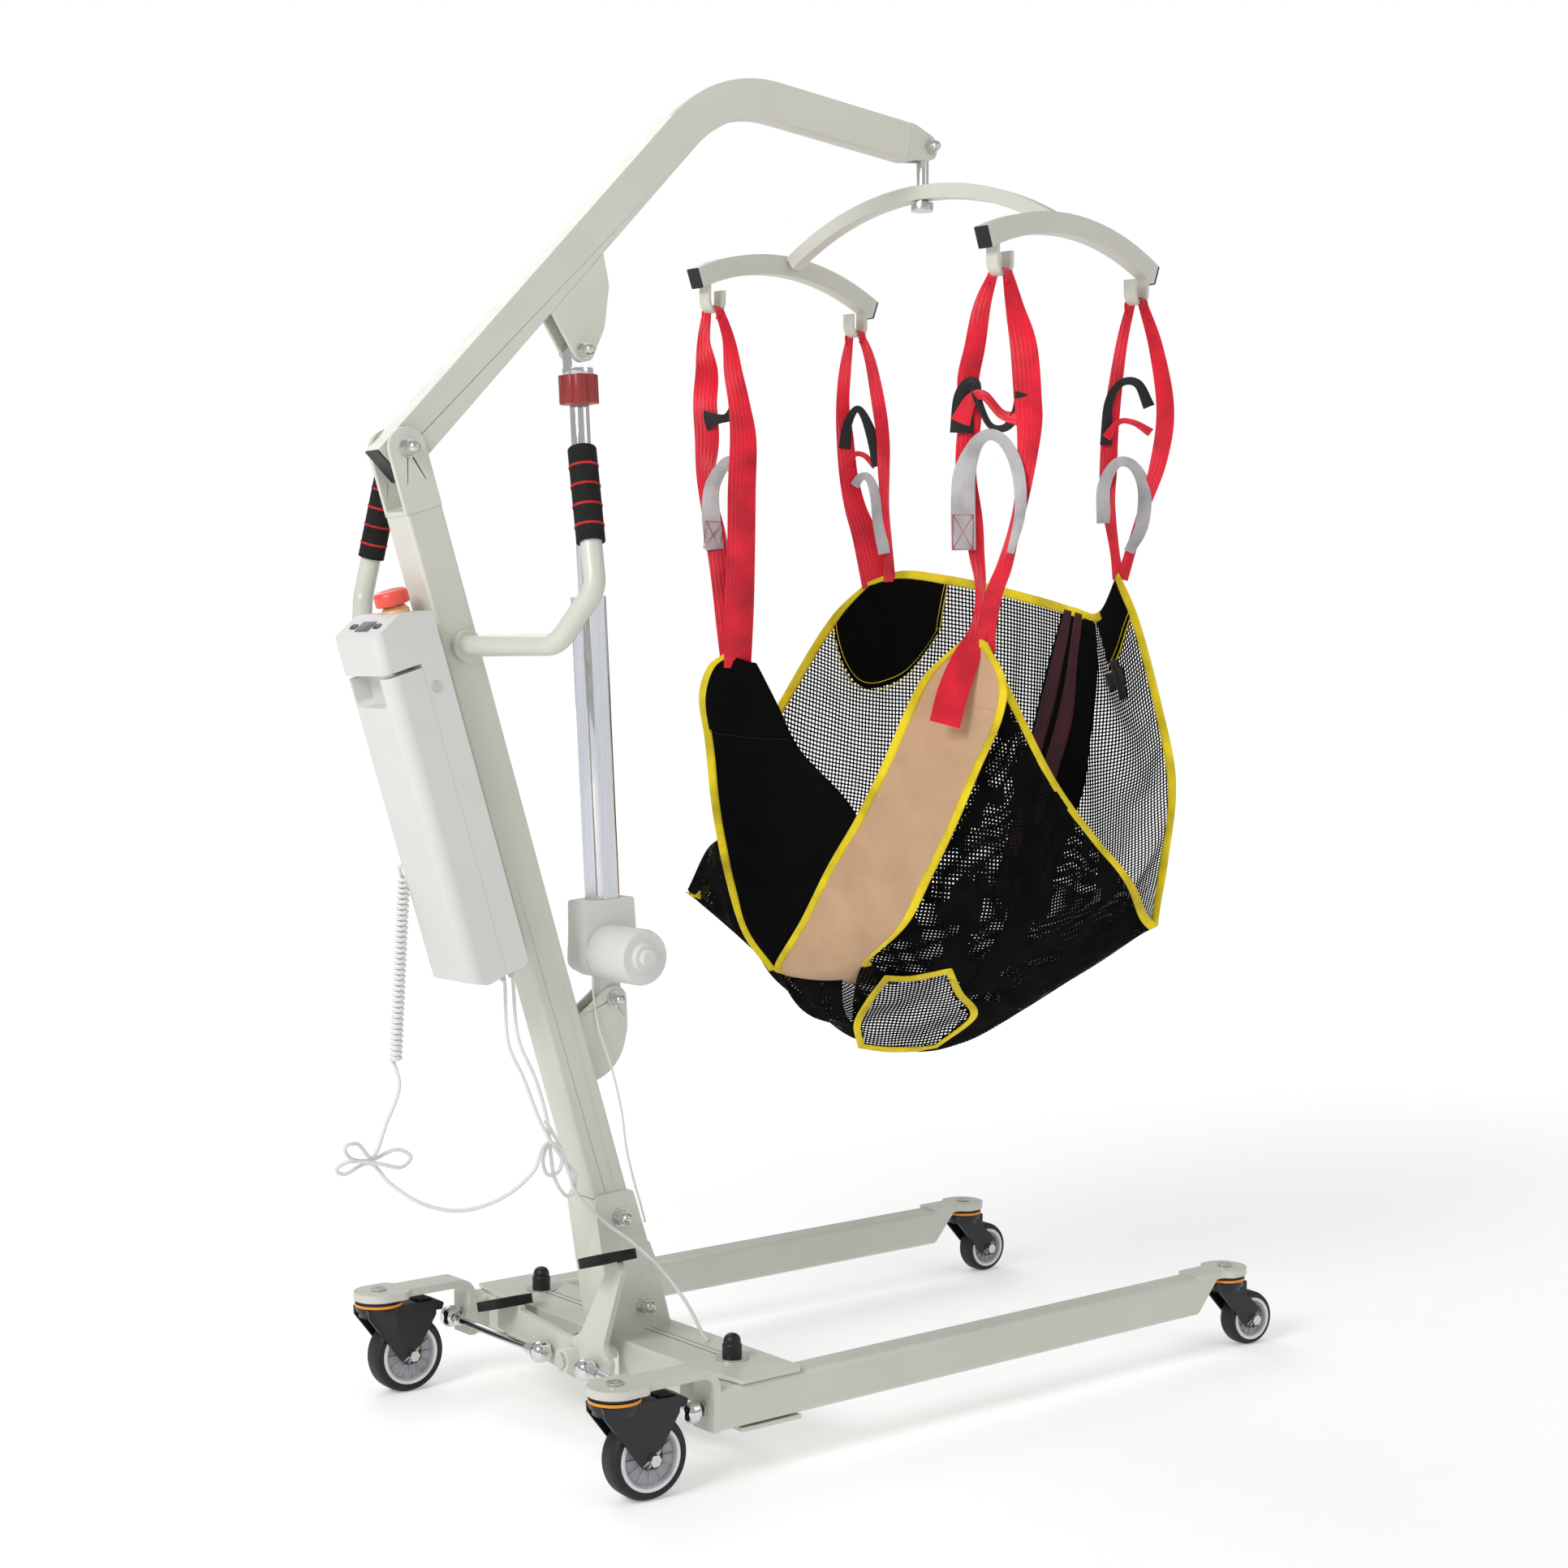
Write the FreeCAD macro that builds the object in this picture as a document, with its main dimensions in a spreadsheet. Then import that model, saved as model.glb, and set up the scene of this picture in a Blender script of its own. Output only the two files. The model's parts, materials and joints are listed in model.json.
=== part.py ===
# Mobile patient lift: a leaning mast on a wheeled base with two opening legs, a bent lifting boom
# driven by an electric actuator, and a four-hook spreader carrying a fabric sling.
# Millimetres. Origin on the floor midway between the two leg pivots, +X the way the legs point,
# +Y to the lift's left, +Z up.
import FreeCAD, Part
import math
import os
import Sketcher

Vector = FreeCAD.Vector
Rotation = FreeCAD.Rotation
Placement = FreeCAD.Placement
X_AXIS = Vector(1, 0, 0)
Y_AXIS = Vector(0, 1, 0)
Z_AXIS = Vector(0, 0, 1)

doc = FreeCAD.newDocument("PatientLift")
sheet = doc.addObject("Spreadsheet::Sheet", "Dims")

# Driving dimensions: alias, value, what it is.
DIMENSIONS = [
    ("pivot_spread", 209.0, "leg pivot distance from the centre line"),
    ("leg_line", 268.0, "leg tube centre distance from the centre line"),
    ("leg_wide", 40.0, "leg tube width"),
    ("leg_tall", 50.0, "leg tube height"),
    ("leg_under", 61.0, "underside of the leg tube above the floor"),
    ("leg_wall", 2.5, "leg tube wall"),
    ("leg_front", 797.0, "front end of the leg tube"),
    ("plate_top", 117.0, "top face of the base plate"),
    ("plate_thick", 5.0, "base plate thickness"),
    ("plate_reach", 290.0, "base plate half width"),
    ("mast_lean", 17.55, "mast lean back from vertical, degrees"),
    ("mast_wide", 50.0, "square mast tube"),
    ("mast_wall", 3.0, "mast tube wall"),
    ("mast_foot", 5.95, "mast axis at the base plate, forward of the leg pivots"),
    ("mast_tall", 1142.6, "base plate to boom pivot along the mast"),
    ("cheek_thick", 6.0, "mast head and foot cheek thickness"),
    ("boom_deep", 50.0, "boom tube depth"),
    ("boom_wide", 30.0, "boom tube width"),
    ("boom_wall", 2.5, "boom tube wall"),
    ("boom_climb", 46.5, "rise of the boom's rear straight at rest, degrees"),
    ("boom_droop", 4.5, "fall of the boom's front straight at rest, degrees"),
    ("boom_bend", 190.0, "boom bend radius at its centre line"),
    ("boom_knee", 131.9, "corner of the boom's two centre lines, X"),
    ("hang_reach", 488.7, "hanger pivot forward of the leg pivots"),
    ("hang_tall", 1669.3, "hanger pivot above the floor"),
    ("jack_low_x", -39.0, "actuator lower pin, X"),
    ("jack_low_z", 537.0, "actuator lower pin, Z"),
    ("jack_long", 806.3, "actuator length between its pins at rest"),
    ("jack_tilt", 3.27, "actuator lean back from vertical at rest, degrees"),
    ("bolt_size", 12.0, "pivot bolt diameter"),
    ("rod_size", 24.0, "actuator rod diameter"),
    ("wheel_rear", 100.0, "rear wheel diameter"),
    ("wheel_front", 75.0, "front wheel diameter"),
    ("caster_rear_x", -215.0, "rear caster swivel axis, X"),
    ("caster_front_x", 833.0, "front caster swivel axis, X"),
    ("rear_seat", 128.0, "underside of the rear caster bracket"),
    ("front_seat", 105.0, "underside of the front caster plate"),
    ("bracket_thick", 10.0, "caster bracket plate thickness"),
    ("rod_level", 86.0, "tie rod and pedal axle height"),
    ("rocker_x", -82.0, "pedal rocker plate front face, X"),
    ("rocker_thick", 8.0, "pedal rocker plate thickness"),
    ("stud_arm", 50.0, "rocker ball stud distance from the pedal axle"),
    ("stud_x", -106.0, "ball stud centres, X"),
    ("bar_size", 20.0, "spreader bar width"),
    ("bar_half", 238.0, "spreader main bar half length"),
    ("side_deep", 28.0, "spreader side bar depth"),
    ("side_half", 197.0, "spreader side bar half length"),
    ("hook_half", 157.0, "hook bowl distance from the side bar's middle"),
    ("hook_floor", 1450.0, "underside of the hooks above the floor"),
    ("spreader_turn", 9.7, "spreader turn about the hanger at rest, degrees"),
    ("box_half", 50.0, "control box half width"),
    ("box_back", 40.0, "control box back face from the mast axis"),
    ("box_split", 73.0, "housing to battery joint from the mast axis"),
    ("box_deep", 123.0, "control box front face from the mast axis"),
    ("box_low", 514.0, "control box lower end along the mast"),
    ("box_high", 966.0, "control box upper end along the mast"),
    ("grip_size", 33.0, "foam grip diameter"),
    ("handle_size", 25.0, "handle tube diameter"),
    ("play", 0.05, "radial running clearance of a pin in its hole"),
]
for row, (alias, value, note) in enumerate(DIMENSIONS, start=1):
    sheet.set("A%d" % row, note)
    sheet.set("B%d" % row, str(value))
    sheet.setAlias("B%d" % row, alias)
doc.recompute()


def dim(alias):
    """Value of a driving dimension."""
    return float(getattr(sheet, alias))


MADE = []


def keep(obj, label, placement=None):
    """Name a finished sub-part and queue it for export."""
    obj.Label = label
    if placement is not None:
        obj.Placement = placement
    MADE.append(obj)
    return obj


# ---------------------------------------------------------------- sketches and features

def unit(vector):
    return vector / vector.Length


def corner_path(points, radii, closed):
    """Lines and arcs through the points, each corner rounded by its radius."""
    count = len(points)
    starts = []
    ends = []
    arcs = []
    for i, point in enumerate(points):
        radius = radii[i] if isinstance(radii, (list, tuple)) else radii
        is_end = not closed and i in (0, count - 1)
        if radius <= 0 or is_end:
            starts.append(point)
            ends.append(point)
            arcs.append(None)
            continue
        back = unit(points[i - 1] - point)
        ahead = unit(points[(i + 1) % count] - point)
        half = back.getAngle(ahead) / 2
        run = radius / math.tan(half)
        centre = point + unit(back + ahead) * (radius / math.sin(half))
        first = point + back * run
        last = point + ahead * run
        arcs.append((first, centre + unit(point - centre) * radius, last))
        starts.append(first)
        ends.append(last)
    pieces = []
    for i in range(count):
        if arcs[i]:
            pieces.append(Part.Arc(*arcs[i]))
        follow = i + 1
        if follow == count and not closed:
            break
        follow %= count
        if (starts[follow] - ends[i]).Length > 1e-6:
            pieces.append(Part.LineSegment(ends[i], starts[follow]))
    return pieces


def outline(sketch, points, radii=0):
    """A closed outline with rounded corners, its pieces joined end to end."""
    corners = [Vector(p[0], p[1], 0) for p in points]
    pieces = corner_path(corners, radii, True)
    made = [sketch.addGeometry(piece, False) for piece in pieces]
    for here, follow in zip(made, made[1:] + made[:1]):
        near = min(((a, b) for a in (1, 2) for b in (1, 2)),
                   key=lambda ends: (sketch.getPoint(here, ends[0])
                                      - sketch.getPoint(follow, ends[1])).Length)
        sketch.addConstraint(Sketcher.Constraint("Coincident", here, near[0], follow, near[1]))


def circle(sketch, x, y, diameter):
    """A circle whose diameter is a number or an expression on the driving dimensions."""
    radius = 1.0 if isinstance(diameter, str) else diameter / 2
    index = sketch.addGeometry(Part.Circle(Vector(x, y, 0), Z_AXIS, radius), False)
    sketch.addConstraint(Sketcher.Constraint("DistanceX", -1, 1, index, 3, x))
    sketch.addConstraint(Sketcher.Constraint("DistanceY", -1, 1, index, 3, y))
    number = sketch.addConstraint(Sketcher.Constraint("Diameter", index, 2 * radius))
    if isinstance(diameter, str):
        sketch.setExpression("Constraints[%d]" % number, diameter)


def bind(obj, name, value):
    """Set a size from a number, or bind it to an expression."""
    if isinstance(value, str):
        obj.setExpression(name, value)
    else:
        setattr(obj, name, value)


def body(label):
    made = doc.addObject("PartDesign::Body", label)
    return made


def sketch_on(owner, plane, name, offset=0):
    """A sketch on one of the body's origin planes, moved along that plane's normal."""
    made = owner.newObject("Sketcher::SketchObject", name)
    base = [f for f in owner.Origin.OriginFeatures if f.Role == plane][0]
    made.AttachmentSupport = [(base, "")]
    made.MapMode = "FlatFace"
    if isinstance(offset, str):
        made.setExpression("AttachmentOffset.Base.z", offset)
    else:
        made.AttachmentOffset = Placement(Vector(0, 0, offset), Rotation())
    return made


def pad(owner, sketch, length, both=False, back=False):
    made = owner.newObject("PartDesign::Pad", sketch.Name + "Pad")
    made.Profile = sketch
    bind(made, "Length", length)
    if both:
        made.SideType = "Symmetric"
    made.Reversed = back
    sketch.Visibility = False
    return made


def pocket(owner, sketch, length, both=False, back=False):
    """Cut a pocket and make sure that it removes material."""
    doc.recompute()
    before = owner.Shape.Volume
    made = owner.newObject("PartDesign::Pocket", sketch.Name + "Cut")
    made.Profile = sketch
    bind(made, "Length", length)
    if both:
        made.SideType = "Symmetric"
    made.Reversed = back
    doc.recompute()
    if owner.Shape.Volume > before - 1e-3:
        raise RuntimeError("pocket cuts nothing: " + made.Name)
    sketch.Visibility = False
    return made


def round_edges(owner, name, edges, radius):
    """Fillet named edges of the body's last feature."""
    last = owner.Tip
    made = owner.newObject("PartDesign::Fillet", name)
    made.Base = (last, edges)
    made.Radius = radius
    return made


def revolve(owner, sketch, angle=360.0):
    """Turn a sketch about its own vertical axis."""
    made = owner.newObject("PartDesign::Revolution", sketch.Name + "Turn")
    made.Profile = sketch
    made.ReferenceAxis = (sketch, ["V_Axis"])
    made.Angle = angle
    sketch.Visibility = False
    return made


def turned(label, points, radii=0, placement=None):
    """A solid of revolution about its own Z axis from a half profile (radius, height)."""
    owner = body(label)
    sketch = sketch_on(owner, "XZ_Plane", label + "Profile")
    outline(sketch, points, radii)
    revolve(owner, sketch)
    if placement is not None:
        owner.Placement = placement
    return owner


def box(label, lx, ly, lz, corner):
    made = doc.addObject("Part::Box", label)
    bind(made, "Length", lx)
    bind(made, "Width", ly)
    bind(made, "Height", lz)
    made.Placement = Placement(corner, Rotation())
    return made


def cylinder(label, radius, height, base, axis=Z_AXIS):
    made = doc.addObject("Part::Cylinder", label)
    bind(made, "Radius", radius)
    bind(made, "Height", height)
    made.Placement = Placement(base, Rotation(Z_AXIS, axis))
    return made


def ball(label, radius, centre):
    made = doc.addObject("Part::Sphere", label)
    bind(made, "Radius", radius)
    made.Placement = Placement(centre, Rotation())
    return made


def prism(label, across, height, base, axis=Z_AXIS):
    """A hexagonal prism, sized across its flats."""
    made = doc.addObject("Part::Prism", label)
    made.Polygon = 6
    made.Circumradius = across / math.sqrt(3)
    bind(made, "Height", height)
    made.Placement = Placement(base, Rotation(Z_AXIS, axis))
    return made


def fuse(label, parts):
    made = doc.addObject("Part::MultiFuse", label)
    made.Shapes = parts
    made.Refine = True
    return made


def cut(label, base, tool):
    made = doc.addObject("Part::Cut", label)
    made.Base = base
    made.Tool = tool
    return made


def group(label, parts):
    """Separate solids that share one node."""
    made = doc.addObject("Part::Compound", label)
    made.Links = parts
    return made


def swept(points, bend, profile):
    """Sweep a closed profile wire, drawn in the XY plane, along a path with rounded corners."""
    path = Part.Wire([piece.toShape() for piece in corner_path(points, bend, False)])
    start = points[0]
    heading = unit(points[1] - points[0])
    turn = Rotation(Z_AXIS, heading)
    wire = profile.copy()
    wire.Placement = Placement(start, turn)
    return Part.Wire(path).makePipeShell([wire], True, False, 2)


def ring_wire(radius):
    return Part.Wire([Part.Circle(Vector(0, 0, 0), Z_AXIS, radius).toShape()])


def feature(label, shape, placement=None):
    """A piece whose shape is worked out in code."""
    made = doc.addObject("Part::Feature", label)
    made.Shape = shape
    if placement is not None:
        made.Placement = placement
    return made


# ---------------------------------------------------------------- places worked out once

LEAN = math.radians(dim("mast_lean"))
MAST_FOOT = Vector(dim("mast_foot"), 0, dim("plate_top"))
MAST_AXIS = Vector(-math.sin(LEAN), 0, math.cos(LEAN))
MAST_BACK = Vector(-math.cos(LEAN), 0, -math.sin(LEAN))
MAST_FRAME = Placement(MAST_FOOT, Rotation(Y_AXIS, -dim("mast_lean")))
BOOM_PIVOT = MAST_FOOT + MAST_AXIS * dim("mast_tall")
HANG_PIVOT = Vector(dim("hang_reach"), 0, dim("hang_tall"))
JACK_LOW = Vector(dim("jack_low_x"), 0, dim("jack_low_z"))
JACK_FRAME = Placement(JACK_LOW, Rotation(Y_AXIS, -dim("jack_tilt")))
SPREADER_FRAME = Placement(Vector(dim("hang_reach"), 0, 0), Rotation(Z_AXIS, dim("spreader_turn")))
LEFT = 1
RIGHT = -1
SIDES = ((LEFT, "left"), (RIGHT, "right"))


def on_mast(up, back, side=0.0):
    """A place along the mast, behind its axis, and to one side."""
    return MAST_FOOT + MAST_AXIS * up + MAST_BACK * back + Vector(0, side, 0)


# ---------------------------------------------------------------- base and mast

CROSS_REAR = -57.0
CROSS_FRONT = 48.0
CROSS_HALF = 180.0
CROSS_LOW = 60.0
LOWER_THICK = 5.0
LEG_PIN = 16.0


def base_plate():
    """Top plate with cut corners over a channel crossmember, and a lower plate at each leg pivot."""
    owner = body("base_plate")
    reach = dim("plate_reach")
    top = sketch_on(owner, "XY_Plane", "basetop", "Dims.plate_top - Dims.plate_thick")
    outline(top, [(CROSS_REAR, -reach + 52), (CROSS_REAR + 9, -reach), (CROSS_FRONT - 8, -reach),
                  (CROSS_FRONT, -reach + 8), (CROSS_FRONT, reach - 8), (CROSS_FRONT - 8, reach),
                  (CROSS_REAR + 9, reach), (CROSS_REAR, reach - 52)])
    for side, _ in SIDES:
        circle(top, 0, side * dim("pivot_spread"), LEG_PIN)
    pad(owner, top, "Dims.plate_thick")
    walls = sketch_on(owner, "XY_Plane", "basewalls", CROSS_LOW - LOWER_THICK)
    outline(walls, [(CROSS_REAR, -CROSS_HALF), (CROSS_FRONT, -CROSS_HALF),
                    (CROSS_FRONT, CROSS_HALF), (CROSS_REAR, CROSS_HALF)])
    outline(walls, [(CROSS_REAR + 5, -CROSS_HALF + 5), (CROSS_FRONT - 5, -CROSS_HALF + 5),
                    (CROSS_FRONT - 5, CROSS_HALF - 5), (CROSS_REAR + 5, CROSS_HALF - 5)])
    pad(owner, walls, dim("plate_top") - dim("plate_thick") - CROSS_LOW + LOWER_THICK)
    lower = sketch_on(owner, "XY_Plane", "baselower", CROSS_LOW - LOWER_THICK - 1)
    for side, _ in SIDES:
        outline(lower, [(-45, side * (CROSS_HALF - 30)), (45, side * (CROSS_HALF - 30)),
                        (45, side * (reach - 2)), (-45, side * (reach - 2))])
        circle(lower, 0, side * dim("pivot_spread"), LEG_PIN)
    pad(owner, lower, LOWER_THICK)
    mouth = sketch_on(owner, "YZ_Plane", "basemouth", CROSS_REAR - 1)
    outline(mouth, [(-52, CROSS_LOW - 20), (52, CROSS_LOW - 20), (52, 104), (-52, 104)], [0, 0, 12, 12])
    pocket(owner, mouth, 8.0, back=True)
    return keep(owner, "base_plate")


FOOT_LOW_UP = 30.5
FOOT_HIGH_UP = 154.0


def mast_foot_bracket():
    """U-shaped foot: two flared cheeks and a back wall that clasp the mast."""
    owner = body("mast_foot_bracket")
    floor = dim("plate_top")
    cheek = sketch_on(owner, "XZ_Plane", "footcheek")
    outline(cheek, [(-50, floor), (39.5, floor), (14.5, 204), (5.5, 226), (2.5, 227),
                    (-20.5, 296.5), (-80, 294), (-56, 148)], [0, 0, 10, 0, 0, 7, 12, 20])
    pad(owner, cheek, "Dims.mast_wide + 2 * Dims.cheek_thick", both=True)
    inside = sketch_on(owner, "XZ_Plane", "footinside")
    outline(inside, [(-44, floor - 5), (60, floor - 5), (60, 320), (-80, 320), (-76.4, 291), (-51, 148)])
    pocket(owner, inside, "Dims.mast_wide + 0.2", both=True)
    holes = sketch_on(owner, "XZ_Plane", "footholes")
    for up in (FOOT_LOW_UP, FOOT_HIGH_UP):
        spot = on_mast(up, 0)
        circle(holes, spot.x, spot.z, "Dims.bolt_size")
    pocket(owner, holes, 80.0, both=True)
    return keep(owner, "mast_foot_bracket")


def mast_tube():
    """Square tube from just above the base plate to the head."""
    owner = body("mast_tube")
    half = dim("mast_wide") / 2
    inner = half - dim("mast_wall")
    ring = sketch_on(owner, "XY_Plane", "mastring", MAST_START)
    outline(ring, [(-half, -half), (half, -half), (half, half), (-half, half)], 4.0)
    outline(ring, [(-inner, -inner), (inner, -inner), (inner, inner), (-inner, inner)], 1.5)
    pad(owner, ring, "Dims.mast_tall - %s" % (MAST_START + HEAD_DROP))
    holes = sketch_on(owner, "XZ_Plane", "mastholes")
    for up in (FOOT_LOW_UP, FOOT_HIGH_UP):
        circle(holes, 0, up, "Dims.bolt_size")
    pocket(owner, holes, 80.0, both=True)
    return keep(owner, "mast_tube", MAST_FRAME)


MAST_START = 10.0
HEAD_DROP = 75.0
HEAD_FLOOR = 6.0


def mast_head_clevis():
    """Slotted head welded on the mast, its two cheeks rounded about the boom pivot."""
    owner = body("mast_head_clevis")
    half = dim("mast_wide") / 2
    low = dim("mast_tall") - HEAD_DROP
    top = dim("mast_tall") + half
    cheeks = sketch_on(owner, "XZ_Plane", "headcheeks")
    outline(cheeks, [(-half, low), (half, low), (half, top), (-half, top)],
            [0, 0, half - 0.01, half - 0.01])
    pad(owner, cheeks, "Dims.mast_wide", both=True)
    slot = sketch_on(owner, "YZ_Plane", "headslot")
    inner = half - dim("cheek_thick")
    outline(slot, [(-inner, low + HEAD_FLOOR), (inner, low + HEAD_FLOOR), (inner, top + 5),
                   (-inner, top + 5)],
            [2, 2, 0, 0])
    pocket(owner, slot, 80.0, both=True)
    hole = sketch_on(owner, "XZ_Plane", "headhole")
    circle(hole, 0, dim("mast_tall"), "Dims.bolt_size")
    pocket(owner, hole, 80.0, both=True)
    return keep(owner, "mast_head_clevis", MAST_FRAME)


JACK_PLATE = 5.0


def actuator_mast_bracket():
    """Two curved plates welded to the mast's front face that hold the actuator's lower pin."""
    face_low = on_mast(326, -dim("mast_wide") / 2)
    face_high = on_mast(412, -dim("mast_wide") / 2)
    points = [(face_high.x, face_high.z), (-46, 553), (-20, 556), (-17, 500), (-29, 450),
              (face_low.x, face_low.z)]
    plates = []
    for side, name in SIDES:
        owner = body("jackplate_" + name)
        plate = sketch_on(owner, "XZ_Plane", "jackplate_%s_sketch" % name, -side * dim("boom_wide") / 2)
        outline(plate, points, [0, 16, 18, 60, 60, 0])
        circle(plate, JACK_LOW.x, JACK_LOW.z, "Dims.bolt_size")
        pad(owner, plate, JACK_PLATE, back=(side == RIGHT))
        plates.append(owner)
    return keep(group("actuator_mast_bracket", plates), "actuator_mast_bracket")


def dome_nut(name, place, outward, across=18.0):
    """Hexagon with a domed cap, seated at a place and pointing outward."""
    thick = across * 0.5
    hexagon = prism(name + "_hex", across, thick, place, outward)
    collar = cylinder(name + "_collar", across * 0.42, across * 0.18, place + outward * thick, outward)
    dome = ball(name + "_dome", across * 0.42, place + outward * (thick + across * 0.18))
    return [hexagon, collar, dome]


def cross_bolt(name, x, z, half, across=18.0):
    """Bolt along Y with a washer and a dome nut at each end."""
    radius = "Dims.bolt_size / 2"
    shank = cylinder(name + "_shank", radius, 2 * half, Vector(x, -half, z), Y_AXIS)
    pieces = [shank]
    for side, end in SIDES:
        outward = Vector(0, side, 0)
        washer = cylinder(name + "_washer_" + end, across * 0.66, 2.0, Vector(x, side * half, z), outward)
        pieces.append(washer)
        pieces += dome_nut(name + "_" + end, Vector(x, side * (half + 2), z), outward, across)
    return fuse(name, pieces)


def frame_bolts():
    """Foot bolts, boom pivot bolt, actuator bolt, leg pivot bolts and the boom's pivot washers."""
    solids = []
    cheek = dim("mast_wide") / 2 + dim("cheek_thick")
    for index, up in enumerate((FOOT_LOW_UP, FOOT_HIGH_UP)):
        spot = on_mast(up, 0)
        solids.append(cross_bolt("foot_bolt_%d" % index, spot.x, spot.z, cheek))
    solids.append(cross_bolt("boom_pivot_bolt", BOOM_PIVOT.x, BOOM_PIVOT.z, dim("mast_wide") / 2))
    solids.append(cross_bolt("jack_bolt", JACK_LOW.x, JACK_LOW.z, dim("boom_wide") / 2, 16.0))
    gap_in = dim("boom_wide") / 2 + 0.2
    gap_out = dim("mast_wide") / 2 - dim("cheek_thick")
    for side, name in SIDES:
        start = Vector(BOOM_PIVOT.x, side * gap_in, BOOM_PIVOT.z)
        disc = cylinder("pivot_disc_" + name, 23.0, gap_out - gap_in, start, Vector(0, side, 0))
        bore = cylinder("pivot_disc_bore_" + name, "Dims.bolt_size / 2", 10.0, start, Vector(0, side, 0))
        solids.append(cut("pivot_washer_" + name, disc, bore))
    low = CROSS_LOW - LOWER_THICK - 1
    for side, name in SIDES:
        y = side * dim("pivot_spread")
        head = prism("leg_bolt_head_" + name, 24.0, 9.0, Vector(0, y, low - 9))
        shank = cylinder("leg_bolt_shank_" + name, LEG_PIN / 2, dim("plate_top") + 14 - low,
                         Vector(0, y, low))
        flange = cylinder("leg_bolt_flange_" + name, 20.0, 2.5, Vector(0, y, dim("plate_top")))
        solids.append(fuse("leg_bolt_" + name, [head, shank, flange]))
    return keep(group("frame_bolts", solids), "frame_bolts")


def leg_pivot_caps():
    """Black dome caps over the leg pivot nuts."""
    base = dim("plate_top") + 2.5
    caps = []
    for side, name in SIDES:
        profile = [(LEG_PIN / 2, 0), (12, 0), (12, 15), (10.6, 16.5), (10.6, 28.6), (0, 28.6), (0, 20),
                   (LEG_PIN / 2, 20)]
        place = Placement(Vector(0, side * dim("pivot_spread"), base), Rotation())
        caps.append(turned("cap_" + name, profile, [0, 1, 0, 0, 9.5, 0, 0, 0], place))
    return keep(group("leg_pivot_caps", caps), "leg_pivot_caps")


HANDLE_ROOT_UP = 901.0
HANDLE_WALL = 2.0


def handle_path(side):
    """Centre line of one push handle: out of the mast's side, then up and slightly inward."""
    root = on_mast(HANDLE_ROOT_UP, -4, side * (dim("mast_wide") / 2))
    elbow = Vector(root.x, side * 222, root.z)
    return [root, elbow, Vector(-238, side * 262, 1040), Vector(-226, side * 218, 1196)]


GRIP_LONG = 108.0


def push_handles():
    """Two bent steel tubes with a weld boss at the mast."""
    tubes = []
    for side, name in SIDES:
        path = handle_path(side)
        bend = [0, 32, 32, 0]
        outer = swept(path, bend, ring_wire(dim("handle_size") / 2))
        inner = swept(path, bend, ring_wire(dim("handle_size") / 2 - HANDLE_WALL))
        boss = Part.makeCylinder(19, 9, path[0], Vector(0, side, 0))
        tubes.append(feature("push_handle_" + name, outer.fuse(boss).cut(inner)))
    return keep(group("push_handles", tubes), "push_handles")


def handle_grips():
    """Foam sleeves closed at the top over each handle's upper end."""
    sleeves = []
    for side, name in SIDES:
        path = handle_path(side)
        top = path[3]
        heading = unit(path[3] - path[2])
        low = top - heading * GRIP_LONG
        outer = Part.makeCylinder(dim("grip_size") / 2, GRIP_LONG + 5, low, heading)
        inner = Part.makeCylinder(dim("handle_size") / 2, GRIP_LONG, low, heading)
        sleeve = outer.cut(inner)
        crown = [e for e in sleeve.Edges
                 if e.BoundBox.ZMin > top.z - 8 and abs(e.Length - math.pi * dim("grip_size")) < 1]
        sleeves.append(feature("grip_" + name, sleeve.makeFillet(4.0, crown)))
    return keep(group("handle_grips", sleeves), "handle_grips")


# ---------------------------------------------------------------- control box
# Drawn in the mast's frame: local -X is behind the mast, Z runs up the mast.

HOUSING_WALL = 3.0
MODULE_LOW = 903.0
PACK_TOP = 898.0
FASCIA_RISE = 948.0


def control_box_housing():
    """Mast-side half of the box with the hollow upper module that overhangs the battery."""
    owner = body("control_box_housing")
    back = -dim("box_back")
    split = -dim("box_split")
    deep = -dim("box_deep")
    low = dim("box_low")
    high = dim("box_high")
    side = sketch_on(owner, "XZ_Plane", "boxside")
    outline(side, [(back, low), (split, low), (split, MODULE_LOW), (deep, MODULE_LOW), (deep, FASCIA_RISE),
                   (-83, high), (back, high - 8)], [10, 0, 0, 0, 0, 8, 6])
    pad(owner, side, "2 * Dims.box_half", both=True)
    mount = sketch_on(owner, "XZ_Plane", "boxmount")
    outline(mount, [(-dim("mast_wide") / 2, low + 30), (back - 1, low + 30), (back - 1, high - 30),
                    (-dim("mast_wide") / 2, high - 30)])
    pad(owner, mount, 40.0, both=True)
    hollow = sketch_on(owner, "XZ_Plane", "boxhollow")
    outline(hollow, [(back - HOUSING_WALL, low + HOUSING_WALL), (split + HOUSING_WALL, low + HOUSING_WALL),
                     (split + HOUSING_WALL, high - 14), (back - HOUSING_WALL, high - 14)])
    pocket(owner, hollow, "2 * Dims.box_half - 6", both=True)
    rounded(owner, low)
    holes = sketch_on(owner, "XY_Plane", "boxstem", high)
    circle(holes, -ESTOP_BACK, 0, STEM_SIZE + 0.1)
    pocket(owner, holes, 30.0)
    seat = sketch_on(owner, "XY_Plane", "boxseat", high)
    circle(seat, -ESTOP_BACK, 0, 2 * COLLAR_RADIUS + 0.2)
    pocket(owner, seat, COLLAR_SUNK)
    catch = sketch_on(owner, "XZ_Plane", "boxcatch", dim("box_half"))
    circle(catch, LATCH_X, LATCH_UP, 2 * LATCH_RADIUS + 0.4)
    pocket(owner, catch, 5.0)
    keys_cut(owner)
    return keep(owner, "control_box_housing", MAST_FRAME)


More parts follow.
